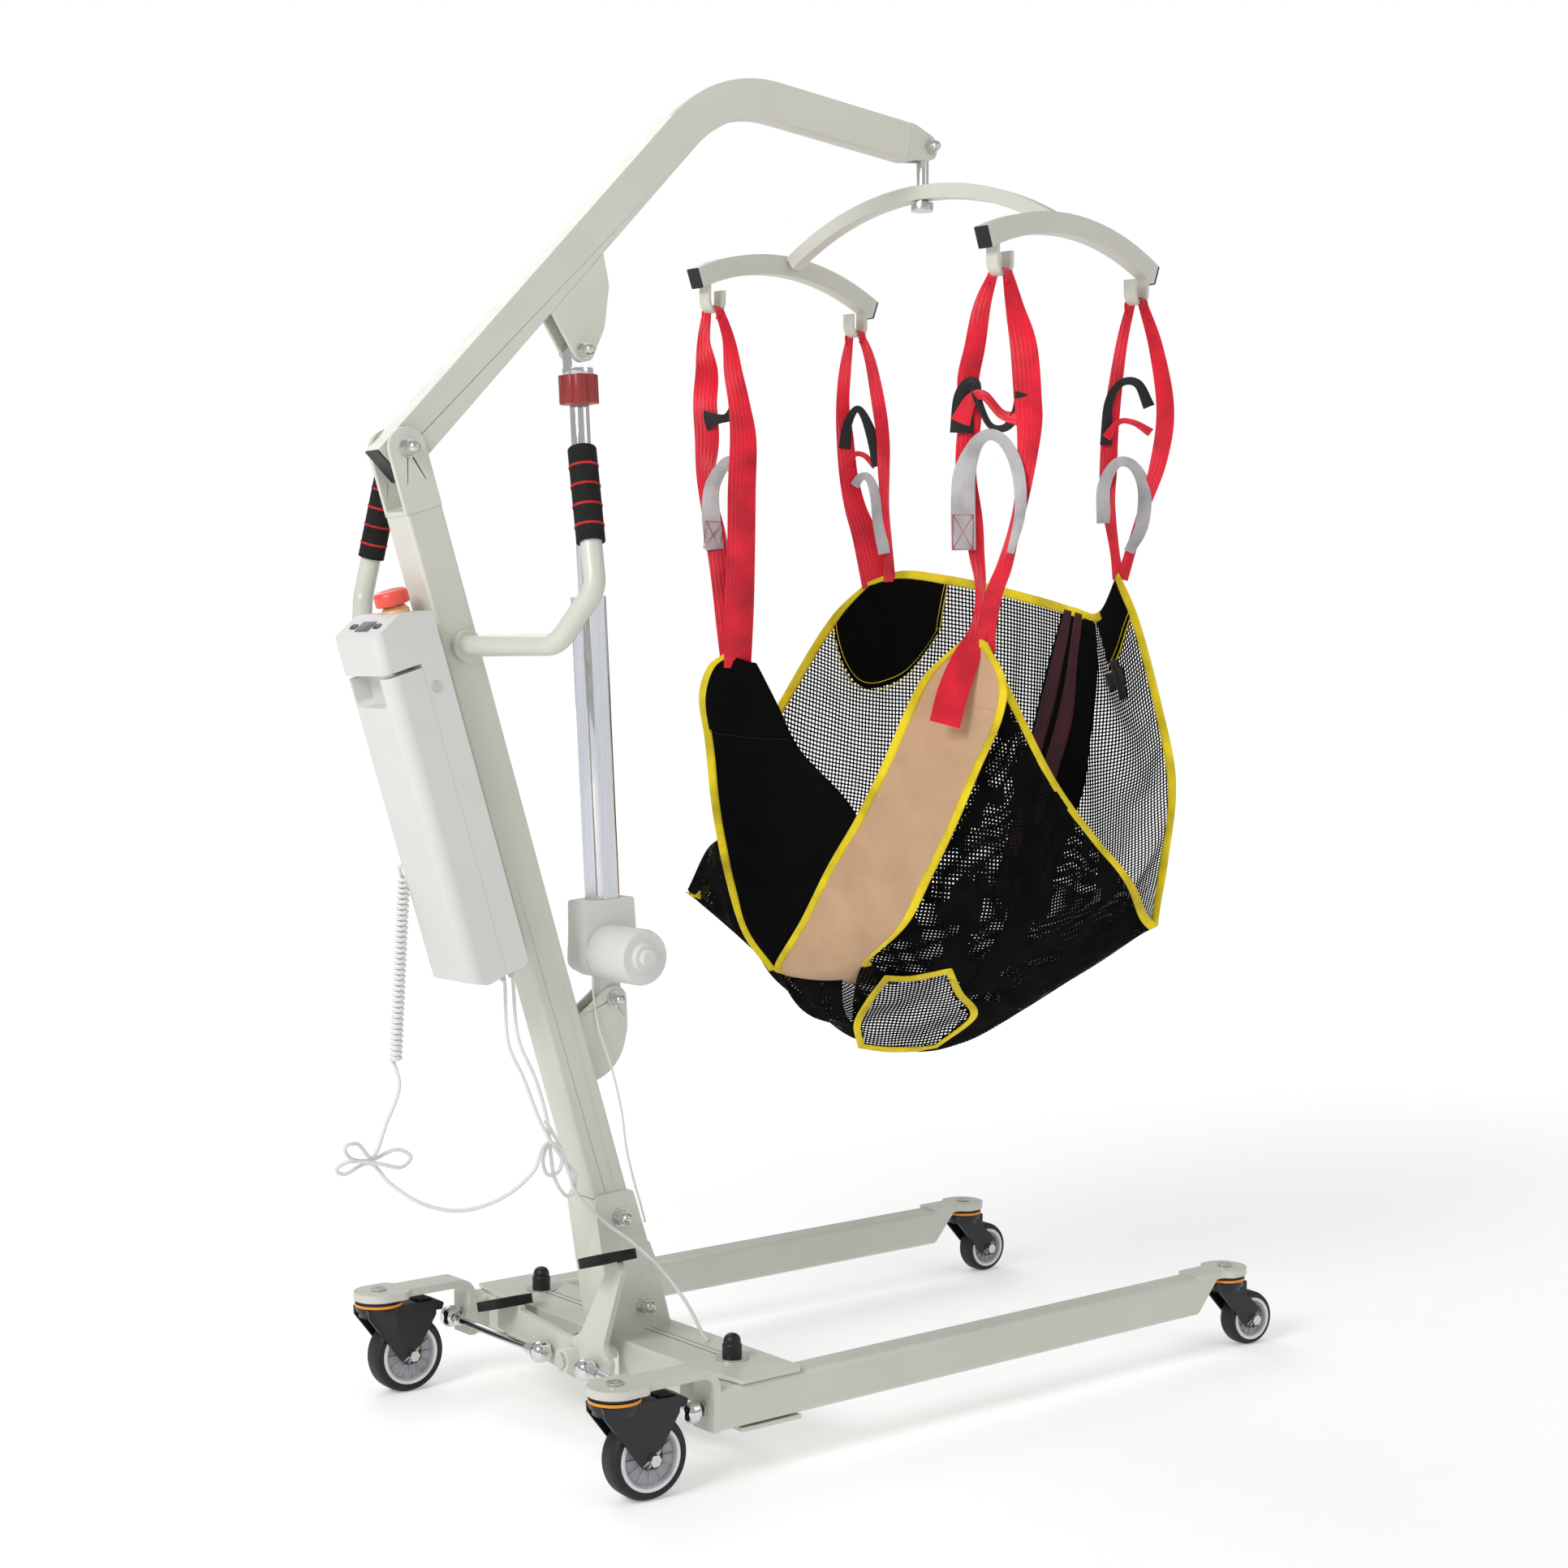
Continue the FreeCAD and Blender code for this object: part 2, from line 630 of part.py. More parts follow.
def rounded(owner, low):
    """Round the module's two upright front edges and the top's side edges."""
    doc.recompute()
    picked = []
    deep = -dim("box_deep")
    for index, edge in enumerate(owner.Shape.Edges, start=1):
        bounds = edge.BoundBox
        upright = bounds.ZLength > 20 and bounds.XLength < 0.1 and bounds.YLength < 0.1
        if upright and abs(bounds.XMin - deep) < 0.1 and bounds.ZMin > low + 300:
            picked.append("Edge%d" % index)
    round_edges(owner, "boxround", picked, 11.0)


ESTOP_BACK = 60.0
STEM_SIZE = 10.0
COLLAR_RADIUS = 17.0
COLLAR_SUNK = 7.5
LATCH_X = -62.0
LATCH_RADIUS = 6.5
KEY_WIDE = 15.0
KEY_DEEP = 8.0
FASCIA_TILT = math.degrees(math.atan2(966.0 - 948.0, 123.0 - 83.0))
FASCIA_SPOT = Vector(-103.0, 0, 957.0)


def fascia_place(side, lift=0.0):
    """A place on the sloped display fascia of the module, raised along its normal."""
    turn = Rotation(Y_AXIS, -FASCIA_TILT)
    return Placement(FASCIA_SPOT + Vector(0, side, 0) + turn.multVec(Vector(0, 0, lift)), turn)


KEY_OFFSET = 27.0
WINDOW_LONG = 16.0
WINDOW_WIDE = 9.0


def keys_cut(owner):
    """Recesses for the two keys and the display window in the fascia."""
    doc.recompute()
    for side in (-KEY_OFFSET, 0.0, KEY_OFFSET):
        sketch = owner.newObject("Sketcher::SketchObject", "fascia%d" % int(100 + side))
        sketch.Placement = fascia_place(side, 3.0)
        if side == 0.0:
            half_long, half_wide, corner, deep = WINDOW_LONG, WINDOW_WIDE, 2.0, 5.0
        else:
            half_long, half_wide, corner, deep = KEY_WIDE / 2 + 0.3, KEY_DEEP / 2 + 0.3, 3.8, 7.0
        outline(sketch, [(-half_wide, -half_long), (half_wide, -half_long), (half_wide, half_long),
                         (-half_wide, half_long)], corner)
        pocket(owner, sketch, deep)


def fascia_block(label, side, half_long, half_wide, corner, low, high):
    """A rounded block standing in a fascia recess."""
    owner = body(label)
    sketch = sketch_on(owner, "XY_Plane", label + "_face", low)
    outline(sketch, [(-half_wide, -half_long), (half_wide, -half_long), (half_wide, half_long),
                     (-half_wide, half_long)], corner)
    pad(owner, sketch, high - low)
    return keep(owner, label, MAST_FRAME.multiply(fascia_place(side)))


def control_parts():
    """Display, keys, emergency stop, circuit board, battery pack and its latch."""
    fascia_block("display_window", 0.0, WINDOW_LONG - 0.1, WINDOW_WIDE - 0.1, 2.0, -2.0, 0.4)
    fascia_block("up_button", KEY_OFFSET, KEY_WIDE / 2, KEY_DEEP / 2, 3.7, -2.5, 1.2)
    fascia_block("down_button", -KEY_OFFSET, KEY_WIDE / 2, KEY_DEEP / 2, 3.7, -2.5, 1.2)
    top = dim("box_high") - COLLAR_SUNK
    collar = turned("estop_collar", [(STEM_SIZE / 2 + 1, 0), (COLLAR_RADIUS, 0), (COLLAR_RADIUS, 5),
                                     (13, 11),
                                     (STEM_SIZE / 2 + 1, 11)])
    keep(collar, "estop_collar", MAST_FRAME.multiply(Placement(Vector(-ESTOP_BACK, 0, top), Rotation())))
    stem = cylinder("estop_stem", STEM_SIZE / 2, 38.0, Vector(0, 0, 0))
    keep(stem, "estop_stem", MAST_FRAME.multiply(Placement(Vector(-ESTOP_BACK, 0, top - 15), Rotation())))
    profile = [(STEM_SIZE / 2 + 0.05, 4), (14, 4), (14, 0), (20.5, 0), (20.5, 17), (0, 17), (0, 10.05),
               (STEM_SIZE / 2 + 0.05, 10.05)]
    head = turned("estop_head", profile, [0, 0, 0, 2, 6, 0, 0, 0])
    keep(head, "estop_head", MAST_FRAME.multiply(Placement(Vector(-ESTOP_BACK, 0, top + 13), Rotation())))
    board = box("control_board", 1.6, 80.0, 330.0, Vector(0, -40, 0))
    keep(board, "control_board", MAST_FRAME.multiply(Placement(Vector(-dim("box_back") - 12, -40, 560),
                                                               Rotation())))
    battery_pack()
    latch = cylinder("battery_latch", LATCH_RADIUS, 4.0, Vector(0, 0, 0))
    place = Placement(Vector(LATCH_X, -dim("box_half") - 1.0, LATCH_UP), Rotation(Z_AXIS, Y_AXIS))
    keep(latch, "battery_latch", MAST_FRAME.multiply(place))


LATCH_UP = 872.0


def battery_pack():
    """Slide-off battery with a hand recess under the module's overhang."""
    owner = body("battery_pack")
    split = -dim("box_split") - 0.3
    deep = -dim("box_deep")
    low = dim("box_low")
    side = sketch_on(owner, "XZ_Plane", "packside")
    outline(side, [(split, low), (-101, low - 3), (deep, low + 7), (deep, PACK_TOP), (split, PACK_TOP)],
            [0, 20, 0, 0, 0])
    pad(owner, side, "2 * Dims.box_half", both=True)
    doc.recompute()
    picked = []
    for index, edge in enumerate(owner.Shape.Edges, start=1):
        bounds = edge.BoundBox
        if bounds.ZLength > 200 and bounds.YLength < 0.1 and abs(bounds.XMin - deep) < 0.1:
            picked.append("Edge%d" % index)
    round_edges(owner, "packround", picked, 17.0)
    grip = sketch_on(owner, "YZ_Plane", "packgrip", deep - 1)
    outline(grip, [(-34, 864), (34, 864), (34, PACK_TOP + 4), (-34, PACK_TOP + 4)], [8, 8, 0, 0])
    pocket(owner, grip, 24.0, back=True)
    return keep(owner, "battery_pack", MAST_FRAME)


def cable_path(points):
    """A smooth curve through the points."""
    curve = Part.BSplineCurve()
    curve.interpolate(points)
    return curve


def cable_along(points, radius):
    """A round cable on a smooth curve through the points."""
    curve = cable_path(points)
    path = Part.Wire([curve.toShape()])
    heading = unit(curve.tangent(curve.FirstParameter)[0])
    ring = Part.Wire([Part.Circle(points[0], heading, radius).toShape()])
    return path.makePipeShell([ring], True, False, 0)


COIL_TOP = Vector(-298, 62, 704)
COIL_LOW = Vector(-310, 62, 478)
COIL_SIZE = 17.0
CORD_SIZE = 5.4


def coiled_cord():
    """Coiled hand-control cord behind the box and its plain lead over to the mast."""
    turns = 33
    per_turn = 8
    axis = COIL_LOW - COIL_TOP
    across = Vector(0, 1, 0)
    beside = unit(axis).cross(across)
    radius = (COIL_SIZE - CORD_SIZE) / 2
    points = []
    for step in range(turns * per_turn + 1):
        angle = 2 * math.pi * step / per_turn
        along = COIL_TOP + axis * (step / (turns * per_turn))
        points.append(along + across * (radius * math.cos(angle)) + beside * (radius * math.sin(angle)))
    lead = [points[-1], Vector(-314, 56, 440), Vector(-338, 46, 395), Vector(-350, 40, 362),
            Vector(-322, 24, 320),
            Vector(-262, -10, 300), Vector(-214, -34, 312), Vector(-180, -50, 342), Vector(-168, -56, 370)]
    coil = cable_along(points, CORD_SIZE / 2)
    plain = cable_along(lead, 2.4)
    return keep(feature("coiled_cord", coil.fuse(plain)), "coiled_cord")


def power_cables():
    """Cables from the box's underside past a loose tie on the mast to the base, and the motor's lead."""
    low = dim("box_low")
    near = -dim("mast_wide") / 2 - 9
    first = [on_mast(low - 1, 52, -20), on_mast(low - 30, 50, -26), on_mast(low - 110, 38, near),
             on_mast(low - 200, 22, near), on_mast(low - 280, 6, near - 6), Vector(-48, -62, 236),
             Vector(-22, -84, 206), Vector(4, -112, 160), Vector(20, -134, 119)]
    second = [on_mast(low - 1, 62, -20), on_mast(low - 34, 60, -28), on_mast(low - 120, 46, near - 6),
              on_mast(low - 210, 28, near - 7), on_mast(low - 262, 20, near - 7),
              on_mast(low - 284, 30, near - 7),
              on_mast(low - 262, 40, near - 7), on_mast(low - 236, 26, near - 7)]
    return keep(group("power_cables", [feature("cable_base", cable_along(first, 2.2)),
                                       feature("cable_loop", cable_along(second, 2.2))]), "power_cables")


# ---------------------------------------------------------------- legs and pedal

TUBE_REAR = -78.0
BUSH_SIZE = 44.0


def leg(side, name):
    """Leg tube with its sloped front end and caster plate, and the pivot bush welded inboard."""
    owner = body("leg_" + name)
    low = dim("leg_under")
    high = low + dim("leg_tall")
    front = dim("leg_front")
    line = side * dim("leg_line")
    half = dim("leg_wide") / 2
    wall = dim("leg_wall")
    tube = sketch_on(owner, "YZ_Plane", "tube_" + name, TUBE_REAR)
    outline(tube, [(line - half, low), (line + half, low), (line + half, high), (line - half, high)], 5.0)
    pad(owner, tube, "Dims.leg_front - %s" % TUBE_REAR)
    slope = sketch_on(owner, "XZ_Plane", "slope_" + name, -line)
    outline(slope, [(front - 42, low - 1), (front + 30, low - 1), (front + 30, high - 4),
                    (front, high - 4)])
    pocket(owner, slope, 60.0, both=True)
    hollow = sketch_on(owner, "YZ_Plane", "hollow_" + name, TUBE_REAR + 4)
    outline(hollow, [(line - half + wall, low + wall), (line + half - wall, low + wall),
                     (line + half - wall, high - wall), (line - half + wall, high - wall)], 2.0)
    pocket(owner, hollow, front - TUBE_REAR - 54, back=True)
    lobe = sketch_on(owner, "XY_Plane", "lobe_" + name, "Dims.front_seat")
    outline(lobe, [(front - 40, line - half), (front + 12, line - half), (front + 20, line - LOBE_FRONT),
                   (front + 36 + LOBE_FRONT, line - LOBE_FRONT),
                   (front + 36 + LOBE_FRONT, line + LOBE_FRONT),
                   (front + 20, line + LOBE_FRONT), (front + 12, line + half), (front - 40, line + half)],
            [6, 10, 14, LOBE_FRONT - 1, LOBE_FRONT - 1, 14, 10, 6])
    circle(lobe, dim("caster_front_x"), line, PIN_SIZE + 2 * dim("play"))
    pad(owner, lobe, "Dims.bracket_thick")
    gusset = sketch_on(owner, "XY_Plane", "gusset_" + name, "Dims.leg_under")
    inner = side * (dim("leg_line") - dim("leg_wide") / 2 + 0.5)
    pivot = side * dim("pivot_spread")
    outline(gusset, [(-58, inner), (58, inner), (19, pivot - side * 8), (-19, pivot - side * 8)])
    pad(owner, gusset, "Dims.leg_tall")
    window = sketch_on(owner, "XZ_Plane", "window_" + name, -side * (dim("pivot_spread") + 10))
    outline(window, [(-62, low + 8), (62, low + 8), (62, high - 8), (-62, high - 8)])
    pocket(owner, window, 27.0, back=(side == LEFT))
    bush = sketch_on(owner, "XY_Plane", "bush_" + name, "Dims.leg_under")
    circle(bush, 0, pivot, BUSH_SIZE)
    pad(owner, bush, "Dims.leg_tall")
    bore = sketch_on(owner, "XY_Plane", "bore_" + name, "Dims.leg_under - 1")
    circle(bore, 0, pivot, "%s + 2 * Dims.play" % LEG_PIN)
    pocket(owner, bore, 60.0, back=True)
    return keep(owner, "leg_" + name)


PIN_SIZE = 12.0
LOBE_FRONT = 31.0
LOBE_REAR = 32.0
BALL_SIZE = 10.0


def rear_caster_bracket(side, name):
    """Thick plate across the leg tube's end, bent back to a round lobe over the rear caster."""
    line = side * dim("leg_line")
    half = dim("leg_wide") / 2
    thick = dim("bracket_thick")
    seat = dim("rear_seat")
    x = dim("caster_rear_x")
    owner = body("rear_bracket_" + name)
    bend = sketch_on(owner, "XZ_Plane", "bend_" + name, -line)
    outer = 26.0
    outline(bend, [(x + 20, seat), (TUBE_REAR - thick, seat), (TUBE_REAR - thick, dim("leg_under")),
                   (TUBE_REAR, dim("leg_under")), (TUBE_REAR, seat + thick), (x + 20, seat + thick)],
            [0, outer - thick, 0, 0, outer, 0])
    pad(owner, bend, "Dims.leg_wide", both=True)
    lobe = sketch_on(owner, "XY_Plane", "rearlobe_" + name, "Dims.rear_seat")
    outline(lobe, [(x - LOBE_REAR, line - LOBE_REAR), (x + 27, line - LOBE_REAR), (x + 36, line - half),
                   (x + 36, line + half), (x + 27, line + LOBE_REAR), (x - LOBE_REAR, line + LOBE_REAR)],
            [LOBE_REAR - 1, 14, 0, 0, 14, LOBE_REAR - 1])
    pad(owner, lobe, "Dims.bracket_thick")
    hole = sketch_on(owner, "XY_Plane", "kinghole_" + name, "Dims.rear_seat - 1")
    circle(hole, x, line, PIN_SIZE + 2 * dim("play"))
    pocket(owner, hole, 20.0, back=True)
    level = dim("rod_level")
    face = Vector(TUBE_REAR - thick, line, level)
    back = Vector(-1, 0, 0)
    nut = prism("leg_stud_nut_" + name, 17.0, 5.0, face, back)
    stud = ball_stud("leg_stud_" + name, side, face.x, dim("leg_line"))
    whole = fuse("leg_stud_whole_" + name, [nut, stud])
    return keep(group("rear_caster_bracket_" + name, [owner, whole]), "rear_caster_bracket_" + name)


AXLE_SIZE = 12.0


def pedal_axle():
    """Fixed axle along X that carries the pedal rocker, with a domed end."""
    level = dim("rod_level")
    shaft = cylinder("pedal_shaft", AXLE_SIZE / 2, 62.0, Vector(-108, 0, level), X_AXIS)
    block = box("pedal_block", 14.0, 40.0, 30.0, Vector(-50, -20, 82))
    hole = cylinder("pedal_block_hole", AXLE_SIZE / 2, 20.0, Vector(-55, 0, level), X_AXIS)
    seat = cut("pedal_seat", block, hole)
    cap = cylinder("pedal_shaft_cap", 9.5, 3.5, Vector(-111.5, 0, level), X_AXIS)
    return keep(fuse("pedal_axle", [shaft, seat, cap]), "pedal_axle")


NEAR_PAD = Vector(-95, -84, 223.2)
NEAR_TILT = -18.4
FAR_PAD = Vector(-95, 149, 120.8)
FAR_TILT = -15.5


def pedal_lever():
    """Rocker plate with a tall arm on each side, a hub on the axle and two ball stud lugs."""
    owner = body("pedal_rocker")
    level = dim("rod_level")
    plate = sketch_on(owner, "YZ_Plane", "rockerplate", dim("rocker_x") - dim("rocker_thick"))
    outline(plate, [(-14, 60), (-78, 74), (-80, 98), (-64, 112), (-104, 214), (-96, 227), (-78, 221),
                    (-16, 122), (8, 110), (122, 122), (122, 128), (176, 113), (176, 88), (150, 84),
                    (62, 70)],
            [6, 8, 10, 14, 5, 4, 5, 14, 14, 0, 2, 2, 2, 10, 10])
    circle(plate, 0, level, AXLE_SIZE + 2 * dim("play"))
    pad(owner, plate, "Dims.rocker_thick")
    hub = sketch_on(owner, "YZ_Plane", "rockerhub", -107.5)
    circle(hub, 0, level, 30.0)
    circle(hub, 0, level, AXLE_SIZE + 2 * dim("play"))
    pad(owner, hub, 28.0)
    solids = [owner]
    for side, name in SIDES:
        centre = Vector(dim("stud_x"), side * dim("stud_arm"), level)
        base = Vector(dim("rocker_x") - dim("rocker_thick"), centre.y, level)
        solids.append(ball_stud("rocker_stud_" + name, side, base.x, dim("stud_arm")))
        solids.append(prism("rocker_nut_" + name, 15.0, 6.0, base + X_AXIS * dim("rocker_thick"), X_AXIS))
    return keep(group("pedal_lever", solids), "pedal_lever")


def pedal_pads():
    """Two oval rubber treads on the ends of the rocker's arms."""
    pads = []
    places = ((NEAR_PAD, NEAR_TILT, "near"), (FAR_PAD, FAR_TILT, "far"))
    for spot, tilt, name in places:
        owner = body("pad_" + name)
        sketch = sketch_on(owner, "XY_Plane", "padface_" + name)
        outline(sketch, [(-38, -24), (38, -24), (38, 24), (-38, 24)], 23.5)
        pad(owner, sketch, 12.0)
        owner.Placement = Placement(spot, Rotation(X_AXIS, tilt))
        pads.append(owner)
    return keep(group("pedal_pads", pads), "pedal_pads")


TIE_TILT_Y = 0.002
TIE_TILT_Z = 0.041
SOCKET_SIZE = 27.0
SOCKET_BORE = 21.0
CHAMBER_SPARE = 0.6


def ball_stud(label, side, face, across):
    """A ball on a straight neck, turned about X, whose neck ends on a face in front of the ball."""
    centre = Vector(dim("stud_x"), side * across, dim("rod_level"))
    crown = BALL_SIZE / 2
    neck = 3.5
    reach = face - centre.x
    points = [(0, 0.4 - crown), (crown, 0.4 - crown), (crown, crown - 2), (neck, crown - 0.5),
              (neck, reach), (0, reach)]
    return turned(label, points, [0, crown - 1, 2, 0, 0, 0], Placement(centre, Rotation(Z_AXIS, X_AXIS)))


def socket(label, centre, axis, radius, chamber, floor, mouth, front):
    """A round-backed cup turned about an axis, with a ball chamber and a narrower mouth."""
    back = radius - 1
    points = [(0, -back), (radius, -back), (radius, front), (mouth, front), (mouth, floor),
              (chamber, floor),
              (chamber, -floor), (0, -floor)]
    rounding = [0, back - 2, 3, 0, 0, 0, 0, 0]
    if mouth == chamber:
        del points[4:6]
        del rounding[4:6]
    return turned(label, points, rounding, Placement(centre, Rotation(Z_AXIS, axis)))


def tie_rod(side, name):
    """Tie rod with a snug socket on the rocker's ball and a roomy one on the leg's ball."""
    level = dim("rod_level")
    x = dim("stud_x")
    near = Vector(x, side * dim("stud_arm"), level)
    far = Vector(x, side * dim("leg_line"), level)
    outward = Vector(0, side, 0)
    axis = Vector(1, side * TIE_TILT_Y, -side * TIE_TILT_Z)
    snug_room = BALL_SIZE / 2 + CHAMBER_SPARE
    snug = socket("snug_" + name, near, axis, SOCKET_SIZE / 2, snug_room, snug_room, 4.9, 9.5)
    roomy = socket("room_" + name, far, X_AXIS, SOCKET_SIZE / 2 + 0.5, SOCKET_BORE / 2, 10.0,
                   SOCKET_BORE / 2, 7.0)
    start = near + outward * 9
    shank = cylinder("tie_shank_" + name, 5.0, (far - near).Length - 21, start, outward)
    nut_in = prism("tie_nut_in_" + name, 13.0, 18.0, near + outward * 11, outward)
    nut_out = prism("tie_nut_out_" + name, 13.0, 18.0, far - outward * 29, outward)
    return keep(fuse("tie_rod_" + name, [snug, roomy, shank, nut_in, nut_out]), "tie_rod_" + name)


# ---------------------------------------------------------------- casters
# Each caster is drawn about its swivel axis at the origin, trailing toward +X.

REAR_CASTER = dict(wheel=dim("wheel_rear"), half=16.5, trail=39.0, seat=dim("rear_seat"),
                   plate=dim("bracket_thick"),
                   head=29.0, side=21.5, ear=74.0)
FRONT_CASTER = dict(wheel=dim("wheel_front"), half=14.5, trail=41.0, seat=dim("front_seat"),
                    plate=dim("bracket_thick"),
                    head=27.0, side=19.0, ear=26.0)
CHEEK = 3.2
RING_TALL = 4.0


def caster_fork(key, size, place):
    """Fork with a round head, seal rings, a kingpin up through the bracket and the wheel axle."""
    seat = size["seat"] - 0.4
    top = seat - 2 * RING_TALL
    axle = size["wheel"] / 2
    trail = size["trail"]
    half = size["side"]
    ear = size["ear"]
    owner = body("fork_" + key)
    crown = sketch_on(owner, "XY_Plane", "crown_" + key, top - 8)
    head = size["head"]
    circle(crown, 0, 0, 2 * head)
    pad(owner, crown, 8.0)
    flanks = sketch_on(owner, "XZ_Plane", "flanks_" + key)
    outline(flanks, [(-head + 3, top - 1), (-head + 4, top - 13), (trail - 12, axle - 11),
                     (trail + 12, axle - 11),
                     (trail + 12, axle + 12), (ear, top - 20), (ear, top - 1)], [0, 4, 10, 10, 6, 4, 3])
    pad(owner, flanks, 2 * half, both=True)
    gap = sketch_on(owner, "YZ_Plane", "gap_" + key, -head - 5)
    clear = half - CHEEK
    outline(gap, [(-clear, axle - 20), (clear, axle - 20), (clear, top - 7), (-clear, top - 7)])
    pocket(owner, gap, 2 * head + 80, back=True)
    if ear > trail:
        lever_gap = sketch_on(owner, "XZ_Plane", "levergap_" + key)
        outline(lever_gap, [(BRAKE_X, top - 20), (ear + 5, top - 20), (ear + 5, top + 2),
                            (BRAKE_X, top + 2)])
        pocket(owner, lever_gap, 2 * clear, both=True)
    core = sketch_on(owner, "XY_Plane", "core_" + key, top - 14)
    circle(core, 0, 0, 2 * head - 6)
    pad(owner, core, 7.0)
    ring_low = cylinder("ring_low_" + key, size["head"] + 1.5, RING_TALL, Vector(0, 0, top))
    ring_high = cylinder("ring_high_" + key, size["head"], RING_TALL, Vector(0, 0, top + RING_TALL))
    pin_tall = size["seat"] + size["plate"] + 0.4 - top
    pin = cylinder("king_" + key, PIN_SIZE / 2, pin_tall, Vector(0, 0, top))
    pin_hole = cylinder("king_hole_" + key, PIN_SIZE / 2, 3 * RING_TALL, Vector(0, 0, top))
    button = cylinder("king_head_" + key, 9.5, 3.0, Vector(0, 0, size["seat"] + size["plate"] + 0.4))
    socket = cylinder("king_socket_" + key, 4.0, 2.0, Vector(0, 0, size["seat"] + size["plate"] + 1.6))
    king = cut("kingpin_" + key, fuse("king_body_" + key, [pin, button]), socket)
    rings = [cut("seal_low_" + key, ring_low, pin_hole), cut("seal_high_" + key, ring_high, pin_hole)]
    spindle = cylinder("axle_" + key, 4.0, 2 * half, Vector(trail, -half, axle), Y_AXIS)
    ends = []
    for side, end in SIDES:
        ends.append(prism("axle_nut_%s_%s" % (key, end), 13.0, 6.0, Vector(trail, side * half, axle),
                          Vector(0, side, 0)))
    bolt = fuse("axle_bolt_" + key, [spindle] + ends)
    bore = cylinder("axle_bore_" + key, 4.0, 80.0, Vector(trail, -40, axle), Y_AXIS)
    frame = cut("fork_frame_" + key, owner, bore)
    whole = group("caster_fork_" + key, [frame, king, bolt] + rings)
    return keep(whole, "caster_fork_" + key, place)


def caster_wheel(key, size, place):
    """Tyre and hub on the axle, turned about the axle line."""
    outer = size["wheel"] / 2
    half = size["half"]
    rim = outer * 0.76
    spin = place.multiply(Placement(Vector(size["trail"], 0, outer), Rotation(X_AXIS, 90)))
    tyre = turned("tyre_" + key, [(rim, -half + 2), (outer - 3, -half), (outer, -half + 7),
                                  (outer, half - 7),
                                  (outer - 3, half), (rim, half - 2)], [0, 3, 5, 5, 3, 0])
    keep(tyre, "caster_tyre_" + key, spin)
    hub_half = half - 1.5
    bore = 4.0 + dim("play")
    hub = turned("hub_" + key, [(bore, -hub_half), (12, -hub_half), (13, -hub_half + 4),
                                (rim - 7, -hub_half + 4),
                                (rim - 5, -hub_half), (rim, -hub_half), (rim, hub_half),
                                (rim - 5, hub_half),
                                (rim - 7, hub_half - 4), (13, hub_half - 4), (12, hub_half),
                                (bore, hub_half)])
    keep(hub, "caster_hub_" + key, spin)


BRAKE_X = 46.0


def caster_brake(key, place):
    """Foot lever pivoted between the fork's cheeks over the rear wheel."""
    owner = body("brake_" + key)
    lever = sketch_on(owner, "XZ_Plane", "lever_" + key)
    outline(lever, [(BRAKE_X + 4, 104), (86, 103), (89, 112), (66, 122), (BRAKE_X + 4, 120)],
            [2, 2, 3, 6, 2])
    pad(owner, lever, 32.0, both=True)
    return keep(owner, "brake_pedal_" + key, place)


def casters():
    swings = {"rear_left": -1.2, "rear_right": -5.1, "front_left": -3.0, "front_right": -8.4}
    for side, name in SIDES:
        rear = Placement(Vector(dim("caster_rear_x"), side * dim("leg_line"), 0),
                         Rotation(Z_AXIS, swings["rear_" + name]))
        front = Placement(Vector(dim("caster_front_x"), side * dim("leg_line"), 0),
                          Rotation(Z_AXIS, swings["front_" + name]))
        for end, size, place in (("rear", REAR_CASTER, rear), ("front", FRONT_CASTER, front)):
            key = end + "_" + name
            caster_fork(key, size, place)
            caster_wheel(key, size, place)
        caster_brake("rear_" + name, rear)


# ---------------------------------------------------------------- boom

BOOM_DROP = 3.0
TAIL_BACK = 25.0
NOSE_START = 453.0


def boom_line():
    """Centre line corners of the boom: tail, knee and nose weld, in the XZ plane."""
    climb = math.radians(dim("boom_climb"))
    droop = math.radians(dim("boom_droop"))
    ahead = Vector(math.cos(climb), 0, math.sin(climb))
    below = Vector(math.sin(climb), 0, -math.cos(climb))
    start = BOOM_PIVOT + below * BOOM_DROP
    knee = start + ahead * ((dim("boom_knee") - start.x) / ahead.x)
    nose = knee + Vector(math.cos(droop), 0, -math.sin(droop)) * ((NOSE_START - knee.x) / math.cos(droop))
    return start - ahead * TAIL_BACK, knee, nose


def band(points, half):
    """Outline corners of a strip of constant depth about a three-point line in the XZ plane."""
    tail, knee, nose = points
    first = unit(knee - tail)
    second = unit(nose - knee)
    up_first = Vector(-first.z, 0, first.x)
    up_second = Vector(-second.z, 0, second.x)
    mitre = unit(up_first + up_second)
    reach = half / mitre.dot(up_first)
    ring = [tail + up_first * half, knee + mitre * reach, nose + up_second * half,
            nose - up_second * half, knee - mitre * reach, tail - up_first * half]
    return [(p.x, p.z) for p in ring]


